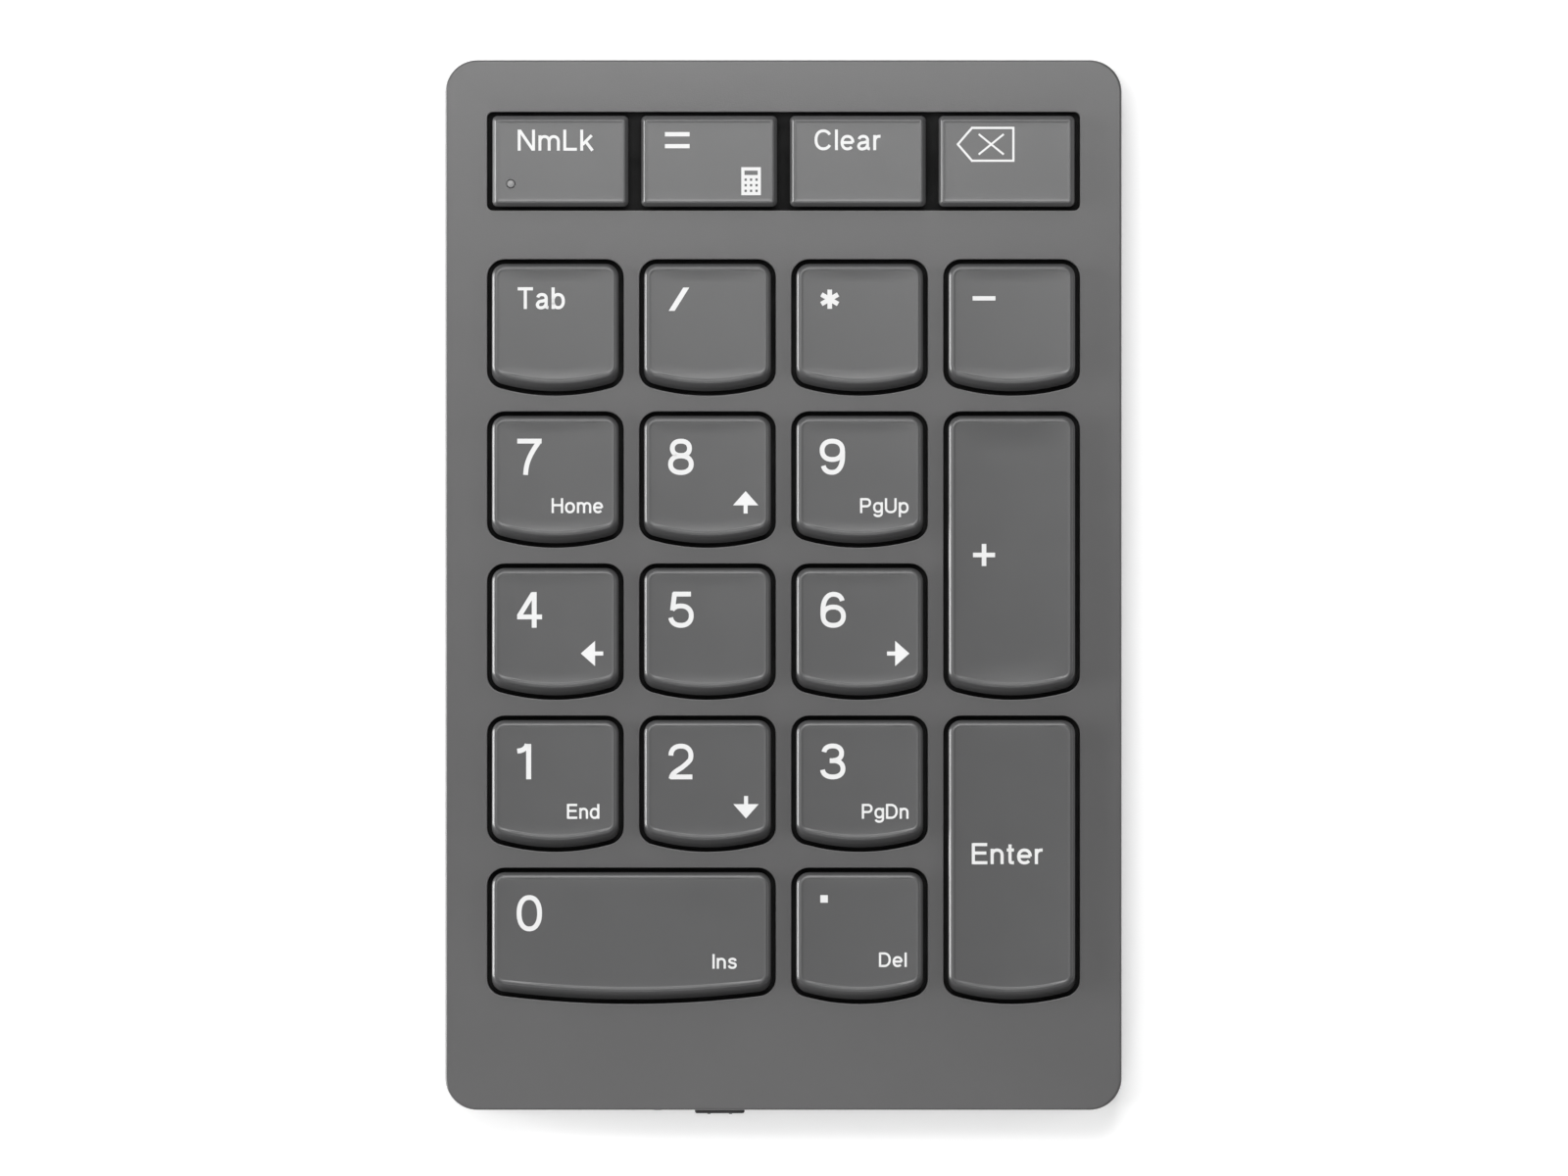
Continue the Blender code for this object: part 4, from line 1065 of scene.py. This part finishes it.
def make_stage():
    """A camera that looks straight down, a white floor and an even white world."""
    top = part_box("top_cover")[1].z
    camera = bpy.data.cameras.new("camera")
    camera.sensor_width = SENSOR
    camera.lens = SENSOR * CAMERA_DISTANCE / VIEW_WIDTH
    camera.clip_start, camera.clip_end = 0.01, 20
    viewer = bpy.data.objects.new("camera", camera)
    viewer.location = (0.06 * MM, -0.37 * MM, top + CAMERA_DISTANCE)
    bpy.context.scene.collection.objects.link(viewer)
    bpy.context.scene.camera = viewer

    bm = bmesh.new()
    level = Matrix.Translation((0, 0, -FLOOR_DROP))
    bmesh.ops.create_grid(bm, x_segments=1, y_segments=1, size=4, matrix=level)
    floor = bpy.data.objects.new("floor", mesh_from(bm))
    paint = new_material(
        "floor_white", (0.9, 0.9, 0.9), 0.9, Emission_Color=(1, 1, 1, 1), Emission_Strength=0.25
    )
    floor.data.materials.append(paint)
    bpy.context.scene.collection.objects.link(floor)

    world = bpy.data.worlds.new("studio")
    world.use_nodes = True
    background = world.node_tree.nodes["Background"]
    background.inputs["Color"].default_value = (1, 1, 1, 1)
    background.inputs["Strength"].default_value = 0.15
    bpy.context.scene.world = world
    bpy.context.scene.view_settings.view_transform = "Standard"


def make_lights():
    """Soft boxes that all face the object."""
    # Name, angle from straight up, bearing from +X, distance, size across, size up, power.
    lights = (
        ("left_strip", 85, 180, 1.1, 0.7, 0.12, 10),
        ("left_box", 70, 180, 1.1, 0.6, 0.22, 8.5),
        ("right_box", 50, 0, 1.1, 0.5, 0.3, 1.9),
        ("rear_box", 50, 90, 1.1, 0.5, 0.3, 2.6),
        ("front_box", 50, 270, 1.1, 0.5, 0.3, 1.7),
        ("rear_top_box", 17.7, 90, 0.525, 0.2, 0.16, 1.0),
        ("front_top_box", 17.7, 270, 0.525, 0.2, 0.16, 0.33),
        ("left_top_box", 21.8, 180, 0.54, 0.2, 0.16, 0.24),
        ("left_rear_top_box", 27.1, 141, 0.56, 0.2, 0.16, 0.4),
    )
    for name, lean, bearing, distance, across, up, power in lights:
        lean, bearing = math.radians(lean), math.radians(bearing)
        flat = math.sin(lean)
        place = Vector((flat * math.cos(bearing), flat * math.sin(bearing), math.cos(lean)))
        lamp = bpy.data.lights.new(name, "AREA")
        lamp.shape = "RECTANGLE"
        lamp.size, lamp.size_y = across, up
        lamp.energy = power
        obj = bpy.data.objects.new(name, lamp)
        obj.location = place * distance
        obj.rotation_mode = "QUATERNION"
        obj.rotation_quaternion = place.to_track_quat("Z", "Y")
        bpy.context.scene.collection.objects.link(obj)


make_keycaps()
for key_name in KEY_NAMES:
    make_legend(key_name)
make_top_shell()
make_bottom_shell()
make_feet()
make_slider()
make_button()
make_domes()
make_scissors()
finish_cad_nodes()
make_stage()
make_lights()
